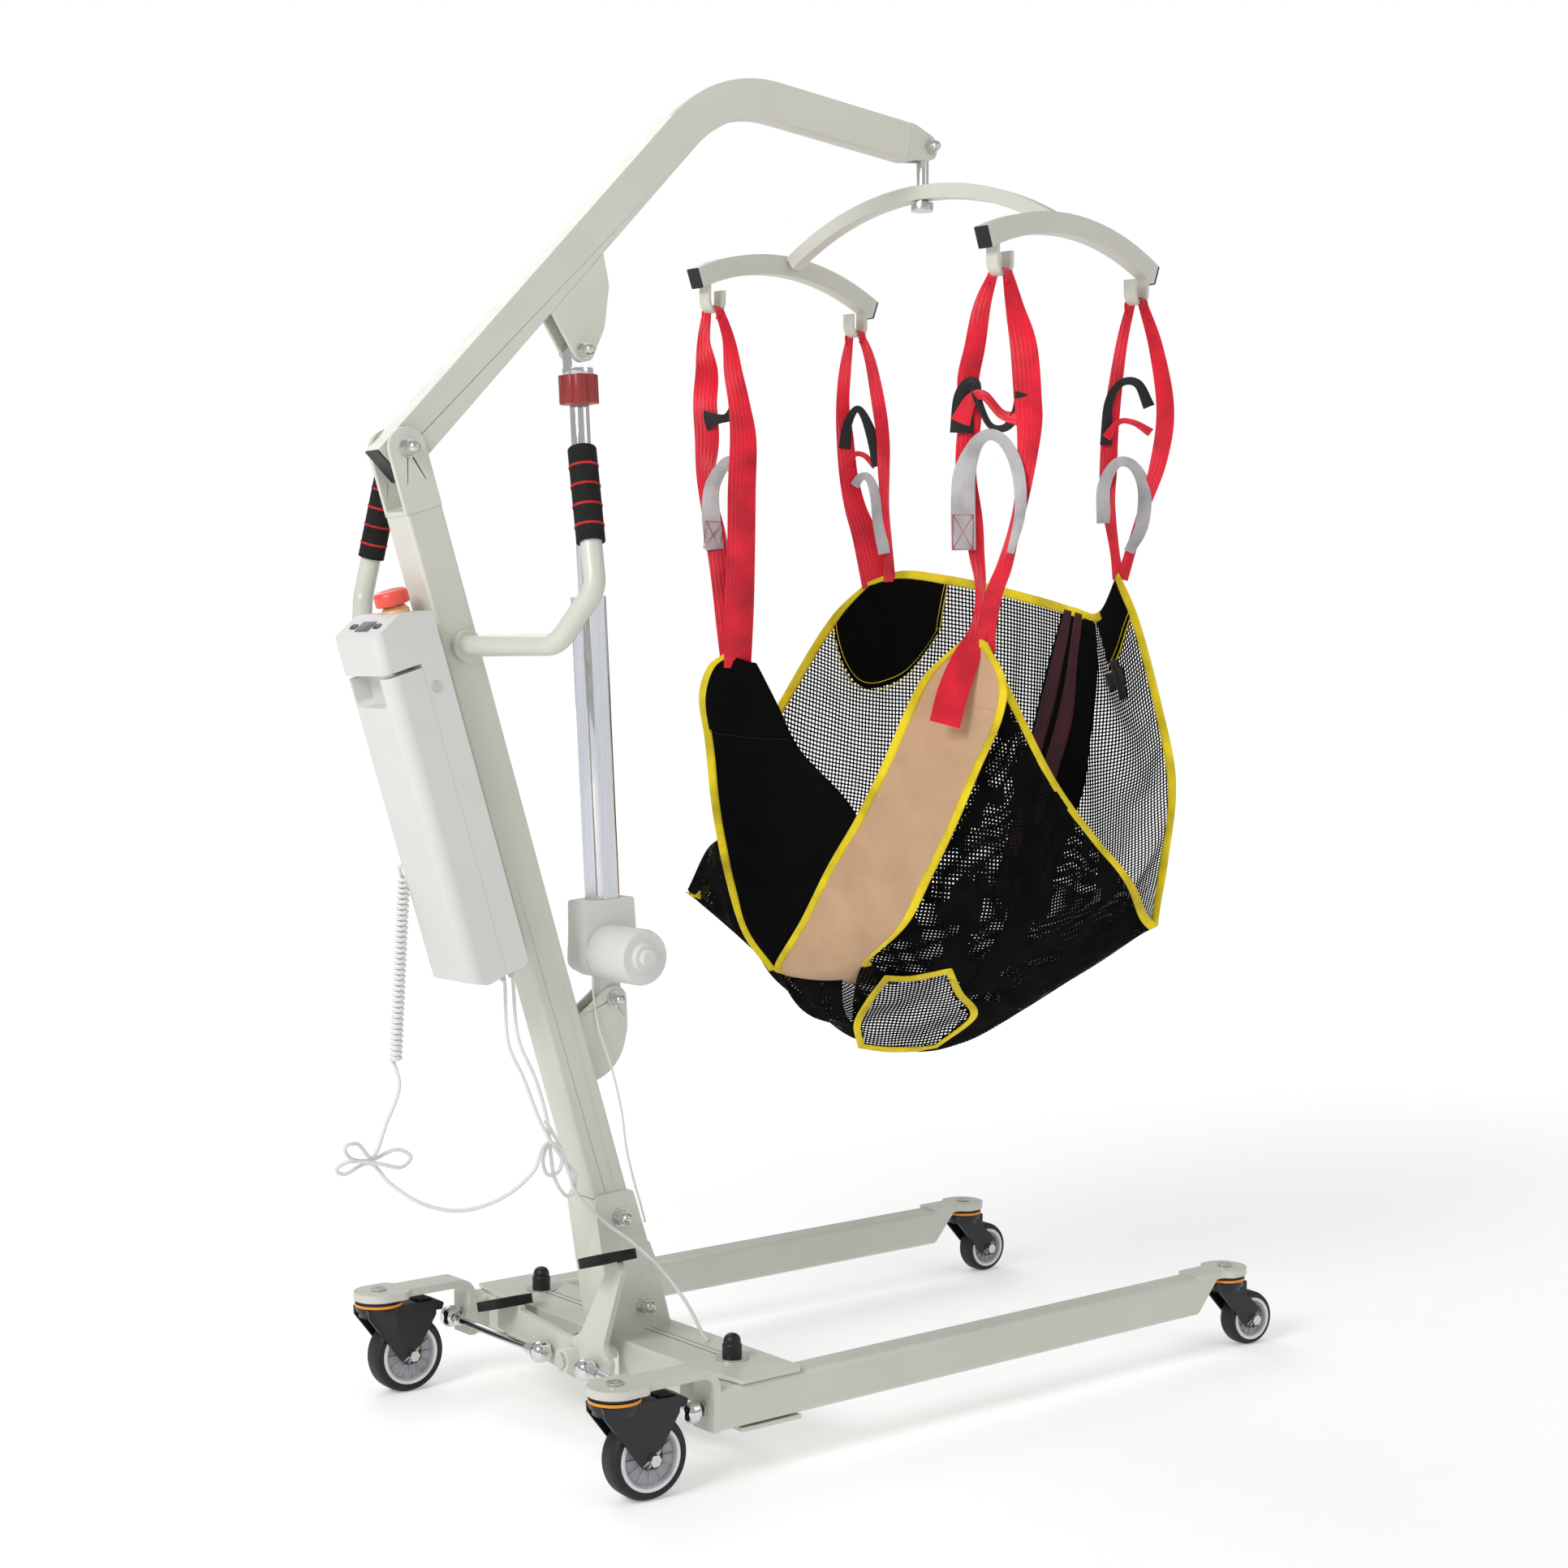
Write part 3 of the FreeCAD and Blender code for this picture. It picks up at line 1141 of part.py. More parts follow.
def boom_tube():
    """Rectangular tube with one bend between its rear and front straights."""
    owner = body("boom_tube")
    line = boom_line()
    half = dim("boom_deep") / 2
    bend = dim("boom_bend")
    skin = sketch_on(owner, "XZ_Plane", "boomskin")
    outline(skin, band(line, half), [0, bend + half, 0, 0, bend - half, 0])
    pad(owner, skin, "Dims.boom_wide", both=True)
    inner = half - dim("boom_wall")
    hollow = sketch_on(owner, "XZ_Plane", "boomhollow")
    outline(hollow, band(line, inner), [0, bend + inner, 0, 0, bend - inner, 0])
    pocket(owner, hollow, "Dims.boom_wide - 2 * Dims.boom_wall", both=True)
    hole = sketch_on(owner, "XZ_Plane", "boomhole")
    circle(hole, BOOM_PIVOT.x, BOOM_PIVOT.z, "Dims.bolt_size + 2 * Dims.play")
    pocket(owner, hole, 60.0, both=True)
    return keep(owner, "boom_tube")


def boom_tail_plug():
    """Black plastic plug in the boom's open tail."""
    tail, knee, _ = boom_line()
    ahead = unit(knee - tail)
    place = Placement(tail, Rotation(Z_AXIS, ahead))
    wide = dim("boom_wide")
    deep = dim("boom_deep")
    wall = dim("boom_wall")
    flange = box("plug_flange", deep, wide, 2.0, Vector(-deep / 2, -wide / 2, -2.0))
    inner = box("plug_inner", deep - 2 * wall - 0.2, wide - 2 * wall - 0.2, 12.0,
                Vector(-deep / 2 + wall + 0.1, -wide / 2 + wall + 0.1, 0))
    return keep(fuse("boom_tail_plug", [flange, inner]), "boom_tail_plug", place)


NOSE_SLOT = 19.0


def boom_nose_clevis():
    """Tapered end welded to the boom, slotted so that the hanger can swing."""
    owner = body("boom_nose_clevis")
    _, _, nose = boom_line()
    half = dim("boom_deep") / 2
    droop = math.radians(dim("boom_droop"))
    up = Vector(math.sin(droop), 0, math.cos(droop)) * half
    side = sketch_on(owner, "XZ_Plane", "noseside")
    pivot = HANG_PIVOT
    outline(side, [(nose.x + up.x, nose.z + up.z), (nose.x + up.x + 7, nose.z + up.z - 0.6),
                   (pivot.x + 11, pivot.z + 13), (pivot.x + 15, pivot.z - 16),
                   (nose.x - up.x, nose.z - up.z)],
            [0, 3, 14, 14, 0])
    pad(owner, side, "Dims.boom_wide", both=True)
    slot = sketch_on(owner, "XY_Plane", "noseslot", pivot.z - 40)
    outline(slot, [(nose.x + 9, -NOSE_SLOT / 2), (pivot.x + 40, -NOSE_SLOT / 2),
                   (pivot.x + 40, NOSE_SLOT / 2),
                   (nose.x + 9, NOSE_SLOT / 2)])
    pocket(owner, slot, 90.0, back=True)
    hole = sketch_on(owner, "XZ_Plane", "nosehole")
    circle(hole, pivot.x, pivot.z, NOSE_PIN)
    pocket(owner, hole, 60.0, both=True)
    return keep(owner, "boom_nose_clevis")


NOSE_PIN = 10.0


def jack_top():
    return JACK_FRAME.multVec(Vector(0, 0, dim("jack_long")))


def boom_lift_bracket():
    """Two tapered plates under the boom that straddle the actuator's rod end."""
    top = jack_top()
    tail, knee, _ = boom_line()
    ahead = unit(knee - tail)
    below = Vector(ahead.z, 0, -ahead.x)
    seat = dim("boom_deep") / 2
    start = tail + ahead * (ahead.dot(Vector(-134, 0, 1387) - tail)) + below * seat
    end = tail + ahead * (ahead.dot(Vector(-57, 0, 1465) - tail)) + below * seat
    plates = []
    for side, name in SIDES:
        owner = body("liftplate_" + name)
        plate = sketch_on(owner, "XZ_Plane", "liftplate_%s_sketch" % name, -side * dim("boom_wide") / 2)
        outline(plate, [(start.x, start.z), (top.x - 15, top.z - 3), (top.x - 5, top.z - 15),
                        (top.x + 12, top.z - 11),
                        (top.x + 31, top.z + 30), (top.x + 38, top.z + 84), (end.x, end.z)],
                [0, 8, 12, 12, 40, 30, 0])
        circle(plate, top.x, top.z, NOSE_PIN)
        pad(owner, plate, JACK_PLATE, back=(side == RIGHT))
        plates.append(owner)
    return keep(group("boom_lift_bracket", plates), "boom_lift_bracket")


def boom_bolts():
    """Hanger bolt through the nose, and the two screw ends that hold the rod end in the lift bracket."""
    half = dim("boom_wide") / 2
    shank = cylinder("nose_shank", NOSE_PIN / 2, 2 * half, HANG_PIVOT - Y_AXIS * half, Y_AXIS)
    pieces = [shank]
    for side, name in SIDES:
        outward = Vector(0, side, 0)
        pieces += dome_nut("nose_" + name, HANG_PIVOT + outward * half, outward, 17.0)
    solids = [fuse("nose_bolt", pieces)]
    top = jack_top()
    for side, name in SIDES:
        outward = Vector(0, side, 0)
        stub = cylinder("lift_stub_" + name, NOSE_PIN / 2, JACK_PLATE, top + outward * (half - JACK_PLATE),
                        outward)
        washer = cylinder("lift_washer_" + name, 10.5, 2.0, top + outward * half, outward)
        nut = dome_nut("lift_" + name, top + outward * (half + 2), outward, 16.0)
        solids.append(fuse("lift_bolt_" + name, [stub, washer] + nut))
    return keep(group("boom_bolts", solids), "boom_bolts")


# ---------------------------------------------------------------- actuator
# Drawn about its lower pin, Z along the actuator.

HOUSING_LOW = 30.0
HOUSING_TOP = 127.0
TUBE_TOP = 505.0
TUBE_SIDE = 36.0
KNOB_LOW = 742.0
KNOB_TOP = 777.5


def actuator_gear_housing():
    """Cast gearbox with its chrome mounting eye below."""
    owner = body("gearcase")
    side = sketch_on(owner, "XZ_Plane", "gearside")
    outline(side, [(-20, HOUSING_LOW), (30, HOUSING_LOW), (36, 52), (34, HOUSING_TOP), (-38, HOUSING_TOP),
                   (-40, 84), (-44, 44)], [8, 10, 10, 4, 4, 16, 16])
    pad(owner, side, 42.0, both=True)
    eye = body("gear_eye")
    plate = sketch_on(eye, "XZ_Plane", "eyeside")
    half = 15.0
    outline(plate, [(-half, HOUSING_LOW), (half, HOUSING_LOW), (half, -half), (-half, -half)],
            [0, 0, half - 0.01, half - 0.01])
    circle(plate, 0, 0, "Dims.bolt_size + 2 * Dims.play")
    pad(eye, plate, 19.6, both=True)
    return keep(group("actuator_gear_housing", [owner, eye]), "actuator_gear_housing", JACK_FRAME)


def actuator_motor_can():
    """Stepped motor can standing off the gearbox's side."""
    place = JACK_FRAME.multiply(Placement(Vector(-8, -21, 61), Rotation(X_AXIS, 90)))
    can = turned("actuator_motor_can", [(0, 0), (35, 0), (35, 70), (33, 77), (19, 77), (18, 82),
                                        (11.5, 82), (11, 88), (0, 88)],
                 [0, 2, 0, 2, 2, 2, 1, 2, 0])
    return keep(can, "actuator_motor_can", place)


def actuator_tube():
    """Extruded outer tube with rounded edges and a dark wiper bore at its top."""
    owner = body("actuator_tube")
    half = TUBE_SIDE / 2
    skin = sketch_on(owner, "XY_Plane", "jackskin", HOUSING_TOP)
    outline(skin, [(-half, -half), (half, -half), (half, half), (-half, half)], 8.0)
    circle(skin, 0, 0, "Dims.rod_size + 2 * Dims.play")
    pad(owner, skin, TUBE_TOP - HOUSING_TOP)
    return keep(owner, "actuator_tube", JACK_FRAME)


ROD_LOW = 405.0


def actuator_rod():
    """Chrome rod with a flatted end between the lift bracket's plates."""
    owner = body("actuator_rod")
    top = dim("jack_long")
    shaft = sketch_on(owner, "XY_Plane", "rodshaft", ROD_LOW)
    circle(shaft, 0, 0, "Dims.rod_size")
    pad(owner, shaft, top - ROD_LOW - 30)
    collar = sketch_on(owner, "XY_Plane", "rodcollar", KNOB_TOP + 0.3)
    circle(collar, 0, 0, 38.0)
    pad(owner, collar, 8.0)
    tip = sketch_on(owner, "XZ_Plane", "rodtip")
    outline(tip, [(-15, KNOB_TOP + 4), (15, KNOB_TOP + 4), (15, top + 15), (-15, top + 15)],
            [0, 0, 14.9, 14.9])
    circle(tip, 0, top, NOSE_PIN)
    pad(owner, tip, 19.6, both=True)
    return keep(owner, "actuator_rod", JACK_FRAME)


def emergency_lowering_knob():
    """Fluted red collar around the rod's upper end."""
    owner = body("emergency_lowering_knob")
    ring = sketch_on(owner, "XY_Plane", "knobring", KNOB_LOW)
    circle(ring, 0, 0, 49.0)
    circle(ring, 0, 0, "Dims.rod_size + 2 * Dims.play")
    pad(owner, ring, KNOB_TOP - KNOB_LOW)
    doc.recompute()
    flute = sketch_on(owner, "XY_Plane", "knobflute", KNOB_LOW - 1)
    circle(flute, 29.5, 0, 15.0)
    first = pocket(owner, flute, 60.0, back=True)
    ring_of = owner.newObject("PartDesign::PolarPattern", "knobflutes")
    ring_of.Originals = [first]
    ring_of.Axis = (flute, ["N_Axis"])
    ring_of.Angle = 360
    ring_of.Occurrences = 8
    owner.Tip = ring_of
    return keep(owner, "emergency_lowering_knob", JACK_FRAME)


# ---------------------------------------------------------------- hanger, spreader and sling
# The spreader is drawn about the hanger's vertical axis: local Y along the main bar.

MAIN_TOP = 1618.7
MAIN_ARC = 428.0
SIDE_TOP = 1548.0
SIDE_ARC = 500.0
STUD_SIZE = 17.0


def hanger_stud():
    """Stud hung from the nose bolt, with an eye above and a round nut under the spreader."""
    top = dim("hang_tall")
    eye = cylinder("stud_eye", 14.0, 18.0, Vector(dim("hang_reach"), -9, top), Y_AXIS)
    low = MAIN_TOP - dim("bar_size") - 14
    shank = cylinder("stud_shank", STUD_SIZE / 2, top - low, Vector(dim("hang_reach"), 0, low))
    nut = cylinder("stud_nut", 15.0, 11.0, Vector(dim("hang_reach"), 0, low - 0.5))
    whole = fuse("stud_whole", [eye, shank, nut])
    bore = cylinder("stud_bore", NOSE_PIN / 2 + dim("play"), 60.0, Vector(dim("hang_reach"), -30, top),
                    Y_AXIS)
    return keep(cut("hanger_stud", whole, bore), "hanger_stud")


def arc_height(radius, half):
    """Fall of an arc at half its span."""
    return radius - math.sqrt(radius * radius - half * half)


def arched_bar(label, plane, radius, crown, deep, half, wide, offset):
    """Rectangular bar bent to an arc, in one of the origin planes."""
    owner = body(label)
    sketch = sketch_on(owner, plane, label + "_side", offset)
    centre = crown - radius
    inner = radius - deep
    swing = math.asin(half / radius)

    def at(r, angle):
        return Vector(r * math.sin(angle), centre + r * math.cos(angle), 0)
    sketch.addGeometry(Part.Arc(at(radius, -swing), at(radius, 0), at(radius, swing)), False)
    sketch.addGeometry(Part.LineSegment(at(radius, swing), at(inner, swing)), False)
    sketch.addGeometry(Part.Arc(at(inner, swing), at(inner, 0), at(inner, -swing)), False)
    sketch.addGeometry(Part.LineSegment(at(inner, -swing), at(radius, -swing)), False)
    pad(owner, sketch, wide, both=True)
    return owner


SIDE_LINE = 248.0


def spreader_frame():
    """Arched main bar welded between two arched side bars."""
    main = arched_bar("main_bar", "YZ_Plane", MAIN_ARC, MAIN_TOP, dim("bar_size"), dim("bar_half") + 2,
                      "Dims.bar_size", 0)
    hole = cylinder("main_bar_hole", STUD_SIZE / 2 + dim("play"), 60.0, Vector(0, 0, MAIN_TOP - 40))
    pieces = [cut("main_bar_bored", main, hole)]
    for side, name in SIDES:
        pieces.append(arched_bar("side_bar_" + name, "XZ_Plane", SIDE_ARC, SIDE_TOP, dim("side_deep"),
                                 dim("side_half"), "Dims.bar_size", -side * SIDE_LINE))
    return keep(fuse("spreader_frame", pieces), "spreader_frame", SPREADER_FRAME)


def bar_end(side, end):
    """Middle of a side bar's end face and the direction the bar leaves it."""
    middle = SIDE_ARC - dim("side_deep") / 2
    swing = math.asin(dim("side_half") / SIDE_ARC)
    spot = Vector(end * middle * math.sin(swing), side * SIDE_LINE,
                  SIDE_TOP - SIDE_ARC + middle * math.cos(swing))
    outward = Vector(end * math.cos(swing), 0, -math.sin(swing))
    return spot, outward


def spreader_end_caps():
    """Black caps on the four ends of the side bars."""
    caps = []
    for side, name in SIDES:
        for end, tag in ((1, "front"), (-1, "rear")):
            spot, outward = bar_end(side, end)
            cap = box("bar_cap_%s_%s" % (name, tag), "Dims.side_deep", "Dims.bar_size", 3.0,
                      Vector(0, 0, 0))
            turn = Rotation(Z_AXIS, outward)
            corner = Vector(-dim("side_deep") / 2, -dim("bar_size") / 2, 0)
            cap.Placement = Placement(spot + turn.multVec(corner), turn)
            caps.append(cap)
    return keep(group("spreader_end_caps", caps), "spreader_end_caps", SPREADER_FRAME)


HOOK_THICK = 5.0
HOOK_WIDE = 18.0
BOWL = 15.0


def hook_shape(side, end):
    """Flat strip bent to a J: from the side bar's underside down, round a bowl and up to its tip."""
    floor = dim("hook_floor")
    middle = dim("hook_half")
    shank = middle + BOWL
    tip = middle - BOWL
    seat = SIDE_TOP - arc_height(SIDE_ARC, shank) - dim("side_deep") - 1.0
    half = HOOK_THICK / 2
    outer = [(shank + half, seat), (shank + half, floor), (tip - half, floor), (tip - half, floor + 33),
             (tip + half, floor + 33), (tip + half, floor + HOOK_THICK), (shank - half, floor + HOOK_THICK),
             (shank - half, seat)]
    radii = [0, BOWL + half - 0.01, BOWL + half - 0.01, 0, 0, BOWL - half - 0.01, BOWL - half - 0.01, 0]
    corners = [Vector(end * x, side * SIDE_LINE - HOOK_WIDE / 2, z) for x, z in outer]
    wire = Part.Wire([piece.toShape() for piece in corner_path(corners, radii, True)])
    return Part.Face(wire).extrude(Vector(0, HOOK_WIDE, 0))


def spreader_hooks():
    """Four J hooks under the ends of the side bars."""
    inner = SIDE_ARC - dim("side_deep")
    hooks = []
    for side, name in SIDES:
        for end, tag in ((1, "front"), (-1, "rear")):
            hook = hook_shape(side, end)
            bar = Part.makeCylinder(inner, 60, Vector(0, side * SIDE_LINE - 30, SIDE_TOP - SIDE_ARC),
                                    Y_AXIS)
            solid = hook.common(bar)
            hooks.append(feature("hook_%s_%s" % (name, tag), solid))
    return keep(group("spreader_hooks", hooks), "spreader_hooks", SPREADER_FRAME)


SLING_THICK = 6.0


def sling_body():
    """Fabric seat as a hanging shell: high back toward +X, seat, and leg pieces rising toward -X."""
    corners = [(168, 1085), (205, 1000), (222, 860), (205, 690), (130, 520), (20, 445), (-90, 490),
               (-150, 620), (-168, 800), (-165, 965)]
    profile = [Vector(x, -SLING_NEAR, z) for x, z in corners]
    curve = Part.BSplineCurve()
    curve.interpolate(profile)
    outer = curve.toShape()
    inner_points = []
    for point in profile:
        tangent = unit(curve.tangent(curve.parameter(point))[0])
        inner_points.append(point + Vector(-tangent.z, 0, tangent.x) * -SLING_THICK)
    inner_curve = Part.BSplineCurve()
    inner_curve.interpolate(inner_points)
    inner = inner_curve.toShape()
    first = Part.LineSegment(inner_points[0], profile[0]).toShape()
    last = Part.LineSegment(profile[-1], inner_points[-1]).toShape()
    wire = Part.Wire(Part.__sortEdges__([outer, last, inner, first]))
    shell = Part.Face(wire).extrude(Vector(0, SLING_NEAR + SLING_FAR, 0))
    return keep(feature("sling_body", shell), "sling_body", SPREADER_FRAME)


SLING_NEAR = 290.0
SLING_FAR = 325.0
STRAP_WIDE = 30.0
STRAP_THICK = 4.0


def sling_straps():
    """Four webbing straps from the hooks to the sling's upper edges."""
    floor = dim("hook_floor") - 3
    straps = []
    ends = {1: (171.0, 1090.0, 190.0), -1: (-165.0, 970.0, 215.0)}
    for side, name in SIDES:
        for end, tag in ((1, "front"), (-1, "rear")):
            x_low, z_low, y_low = ends[end]
            top = Vector(end * dim("hook_half"), side * SIDE_LINE, floor)
            low = Vector(x_low, side * y_low, z_low)
            run = unit(low - top)
            across = Vector(0, 1, 0)
            flat = unit(run.cross(across))
            corners = []
            for spot in (top, low):
                half = STRAP_WIDE / 2
                corners.append([spot + across * half + flat * (STRAP_THICK / 2),
                                spot - across * half + flat * (STRAP_THICK / 2),
                                spot - across * half - flat * (STRAP_THICK / 2),
                                spot + across * half - flat * (STRAP_THICK / 2)])
            loops = [Part.makePolygon(ring + [ring[0]]) for ring in corners]
            straps.append(feature("strap_%s_%s" % (name, tag), Part.makeLoft(loops, True, True)))
    return keep(group("sling_straps", straps), "sling_straps", SPREADER_FRAME)


# ---------------------------------------------------------------- build, check and write

def build():
    base_plate()
    mast_foot_bracket()
    mast_tube()
    mast_head_clevis()
    actuator_mast_bracket()
    frame_bolts()
    leg_pivot_caps()
    push_handles()
    handle_grips()
    control_box_housing()
    control_parts()
    coiled_cord()
    power_cables()
    for side, name in SIDES:
        leg(side, name)
        rear_caster_bracket(side, name)
        tie_rod(side, name)
    pedal_axle()
    pedal_lever()
    pedal_pads()
    casters()
    boom_tube()
    boom_tail_plug()
    boom_nose_clevis()
    boom_lift_bracket()
    boom_bolts()
    actuator_gear_housing()
    actuator_motor_can()
    actuator_tube()
    actuator_rod()
    emergency_lowering_knob()
    hanger_stud()
    spreader_frame()
    spreader_end_caps()
    spreader_hooks()
    sling_body()
    sling_straps()


def check(obj):
    """Stop on a sub-part that is broken, empty or not made of closed solids."""
    state = obj.State
    if "Invalid" in state or "Error" in state:
        raise RuntimeError("%s is %s" % (obj.Label, state))
    shape = obj.Shape
    if shape.isNull() or not shape.isValid() or not shape.Solids:
        raise RuntimeError(obj.Label + " has no valid solid")
    if shape.Volume <= 0:
        raise RuntimeError(obj.Label + " has no volume")


build()
doc.recompute()
for item in doc.Objects:
    if "Invalid" in item.State or "Error" in item.State:
        raise RuntimeError("%s is %s" % (item.Name, item.State))
os.makedirs("parts", exist_ok=True)
for item in MADE:
    check(item)
    item.Shape.exportStep("parts/%s.step" % item.Label)
print("wrote %d sub-parts" % len(MADE))
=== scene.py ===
"""Looks of the mobile patient lift: paint, plastics, casters, cables and a cloth sling with straps."""

import json
import math
import random

import bmesh
import bpy
from mathutils import Matrix, Vector


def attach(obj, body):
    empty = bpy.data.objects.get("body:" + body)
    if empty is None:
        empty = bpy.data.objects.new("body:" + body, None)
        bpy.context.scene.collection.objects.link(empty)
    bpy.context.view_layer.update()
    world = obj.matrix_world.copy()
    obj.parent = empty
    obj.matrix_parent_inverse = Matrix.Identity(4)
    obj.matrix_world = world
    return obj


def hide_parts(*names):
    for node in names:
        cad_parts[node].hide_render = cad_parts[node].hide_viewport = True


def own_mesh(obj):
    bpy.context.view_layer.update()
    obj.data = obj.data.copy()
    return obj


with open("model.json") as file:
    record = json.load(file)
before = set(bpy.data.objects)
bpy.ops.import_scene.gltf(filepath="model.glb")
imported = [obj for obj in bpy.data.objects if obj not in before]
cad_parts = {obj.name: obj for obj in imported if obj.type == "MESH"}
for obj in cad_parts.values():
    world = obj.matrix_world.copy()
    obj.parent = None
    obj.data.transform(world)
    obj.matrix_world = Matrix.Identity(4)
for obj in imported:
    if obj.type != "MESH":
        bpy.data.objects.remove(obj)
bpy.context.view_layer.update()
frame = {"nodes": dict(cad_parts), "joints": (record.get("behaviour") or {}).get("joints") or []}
random.seed(7)
MM = 0.001
JOINTS = {j["name"]: j for j in frame["joints"]}
SWIVEL = Vector(JOINTS["spreader_swivel"]["pos_m"])
SPREADER_TURN = math.radians(9.7)
SPREADER = Matrix.Translation(Vector((SWIVEL.x, SWIVEL.y, 0))) @ Matrix.Rotation(SPREADER_TURN, 4, "Z")
LEAN = math.radians(17.55)
MAST_TOP = Vector(JOINTS["boom_lift"]["pos_m"])
UP_MAST = Vector((-math.sin(LEAN), 0, math.cos(LEAN)))
BEHIND_MAST = Vector((-math.cos(LEAN), 0, -math.sin(LEAN)))
MAST_LONG = 1.1426
MAST_FOOT = MAST_TOP - UP_MAST * MAST_LONG


def on_mast(up, back, side=0.0):
    """A place given in millimetres up the mast, behind its axis and to one side."""
    return MAST_FOOT + UP_MAST * (up * MM) + BEHIND_MAST * (back * MM) + Vector((0, side * MM, 0))


def in_spreader(point):
    """A point of the spreader's own frame, in millimetres, in the row frame."""
    return SPREADER @ (Vector(point) * MM)


# ---------------------------------------------------------------- materials

PAINT = (0.62, 0.62, 0.55)
BOX_WHITE = (0.70, 0.71, 0.675)
BLACK = (0.012, 0.012, 0.014)
RED = (0.78, 0.010, 0.032)
YELLOW = (0.86, 0.66, 0.01)
BEIGE = (0.62, 0.40, 0.24)


class Graph:
    """Short names for building a material's node graph."""

    def __init__(self, name):
        self.mat = bpy.data.materials.new(name)
        self.mat.use_nodes = True
        self.nodes = self.mat.node_tree.nodes
        self.links = self.mat.node_tree.links
        self.bsdf = self.nodes["Principled BSDF"]
        self.out = self.nodes["Material Output"]

    def add(self, kind, **settings):
        node = self.nodes.new(kind)
        for key, value in settings.items():
            if key in node.inputs.keys():
                node.inputs[key].default_value = value
            else:
                setattr(node, key, value)
        return node

    def join(self, source, output, target, socket):
        self.links.new(source.outputs[output], target.inputs[socket])

    def set(self, **values):
        for key, value in values.items():
            self.bsdf.inputs[key.replace("_", " ")].default_value = value

    def place(self, kind="Object", scale=(1, 1, 1)):
        coords = self.add("ShaderNodeTexCoord")
        mapping = self.add("ShaderNodeMapping")
        mapping.inputs["Scale"].default_value = scale
        self.join(coords, kind, mapping, "Vector")
        return mapping

    def noise(self, mapping, scale, detail=4.0, rough=0.5):
        node = self.add("ShaderNodeTexNoise", Scale=scale, Detail=detail, Roughness=rough)
        self.join(mapping, "Vector", node, "Vector")
        return node

    def ramp(self, source, output, stops):
        node = self.add("ShaderNodeValToRGB")
        elements = node.color_ramp.elements
        while len(elements) < len(stops):
            elements.new(0.5)
        for element, (position, colour) in zip(elements, stops):
            element.position = position
            element.color = (*colour, 1) if len(colour) == 3 else colour
        self.join(source, output, node, "Fac")
        return node

    def math(self, operation, first, second=None, clamp=False):
        node = self.add("ShaderNodeMath", operation=operation, use_clamp=clamp)
        for index, value in enumerate((first, second)):
            if value is None:
                continue
            if isinstance(value, (int, float)):
                node.inputs[index].default_value = value
            else:
                self.links.new(value, node.inputs[index])
        return node.outputs[0]

    def bump(self, height, strength, distance, after=None):
        node = self.add("ShaderNodeBump", Strength=strength, Distance=distance)
        self.links.new(height, node.inputs["Height"])
        if after is not None:
            self.links.new(after.outputs[0], node.inputs["Normal"])
        self.links.new(node.outputs[0], self.bsdf.inputs["Normal"])
        return node


def darker(colour, share):
    return tuple(c * share for c in colour)


def coated(name, colour, rough, grain=900.0, grain_depth=0.0001, spread=0.06, metal=0.0, coat=0.0,
           stretch=(1, 1, 1),
           edge_highlight=0.0):
    """A painted or moulded surface: soft colour drift, fine grain, uneven gloss and a painted highlight on sharp
    edges.
    """
    g = Graph(name)
    where = g.place("Object", stretch)
    drift = g.noise(where, 9.0, 5.0)
    shade = g.ramp(drift, "Fac", [(0.3, darker(colour, 1 - spread)),
                                  (0.7, darker(colour, 1 + spread * 0.4))])
    top = shade.outputs["Color"]
    # sharp convex edges are mixed toward a lighter colour: a painted highlight
    if edge_highlight:
        geometry = g.add("ShaderNodeNewGeometry")
        edge = g.ramp(geometry, "Pointiness", [(0.49, (0, 0, 0)), (0.56, (1, 1, 1))])
        mix = g.add("ShaderNodeMix", data_type="RGBA", blend_type="MIX")
        g.links.new(g.math("MULTIPLY", edge.outputs["Color"], edge_highlight), mix.inputs[0])
        g.links.new(top, mix.inputs[6])
        mix.inputs[7].default_value = (*darker(colour, 1.25), 1)
        top = mix.outputs[2]
    g.links.new(top, g.bsdf.inputs["Base Color"])
    smudge = g.noise(where, 26.0, 6.0)
    gloss = g.ramp(smudge, "Fac", [(0.3, (rough * 0.85,) * 3), (0.75, (min(1, rough * 1.2),) * 3)])
    g.join(gloss, "Color", g.bsdf, "Roughness")
    fine = g.noise(where, grain, 2.0)
    g.bump(fine.outputs["Fac"], 0.35, grain_depth)
    g.set(Metallic=metal, Coat_Weight=coat, Coat_Roughness=0.25)
    return g.mat


def brushed(name, colour, rough, along=(1, 1, 0.02), metal=1.0):
    """Metal with fine lines along one direction."""
    g = Graph(name)
    where = g.place("Object", along)
    lines = g.noise(where, 900.0, 3.0)
    shade = g.ramp(lines, "Fac", [(0.3, darker(colour, 0.85)), (0.7, colour)])
    g.join(shade, "Color", g.bsdf, "Base Color")
    gloss = g.ramp(lines, "Fac", [(0.2, (rough * 0.7,) * 3), (0.8, (rough * 1.3,) * 3)])
    g.join(gloss, "Color", g.bsdf, "Roughness")
    g.bump(lines.outputs["Fac"], 0.2, 0.00004)
    g.set(Metallic=metal)
    return g.mat


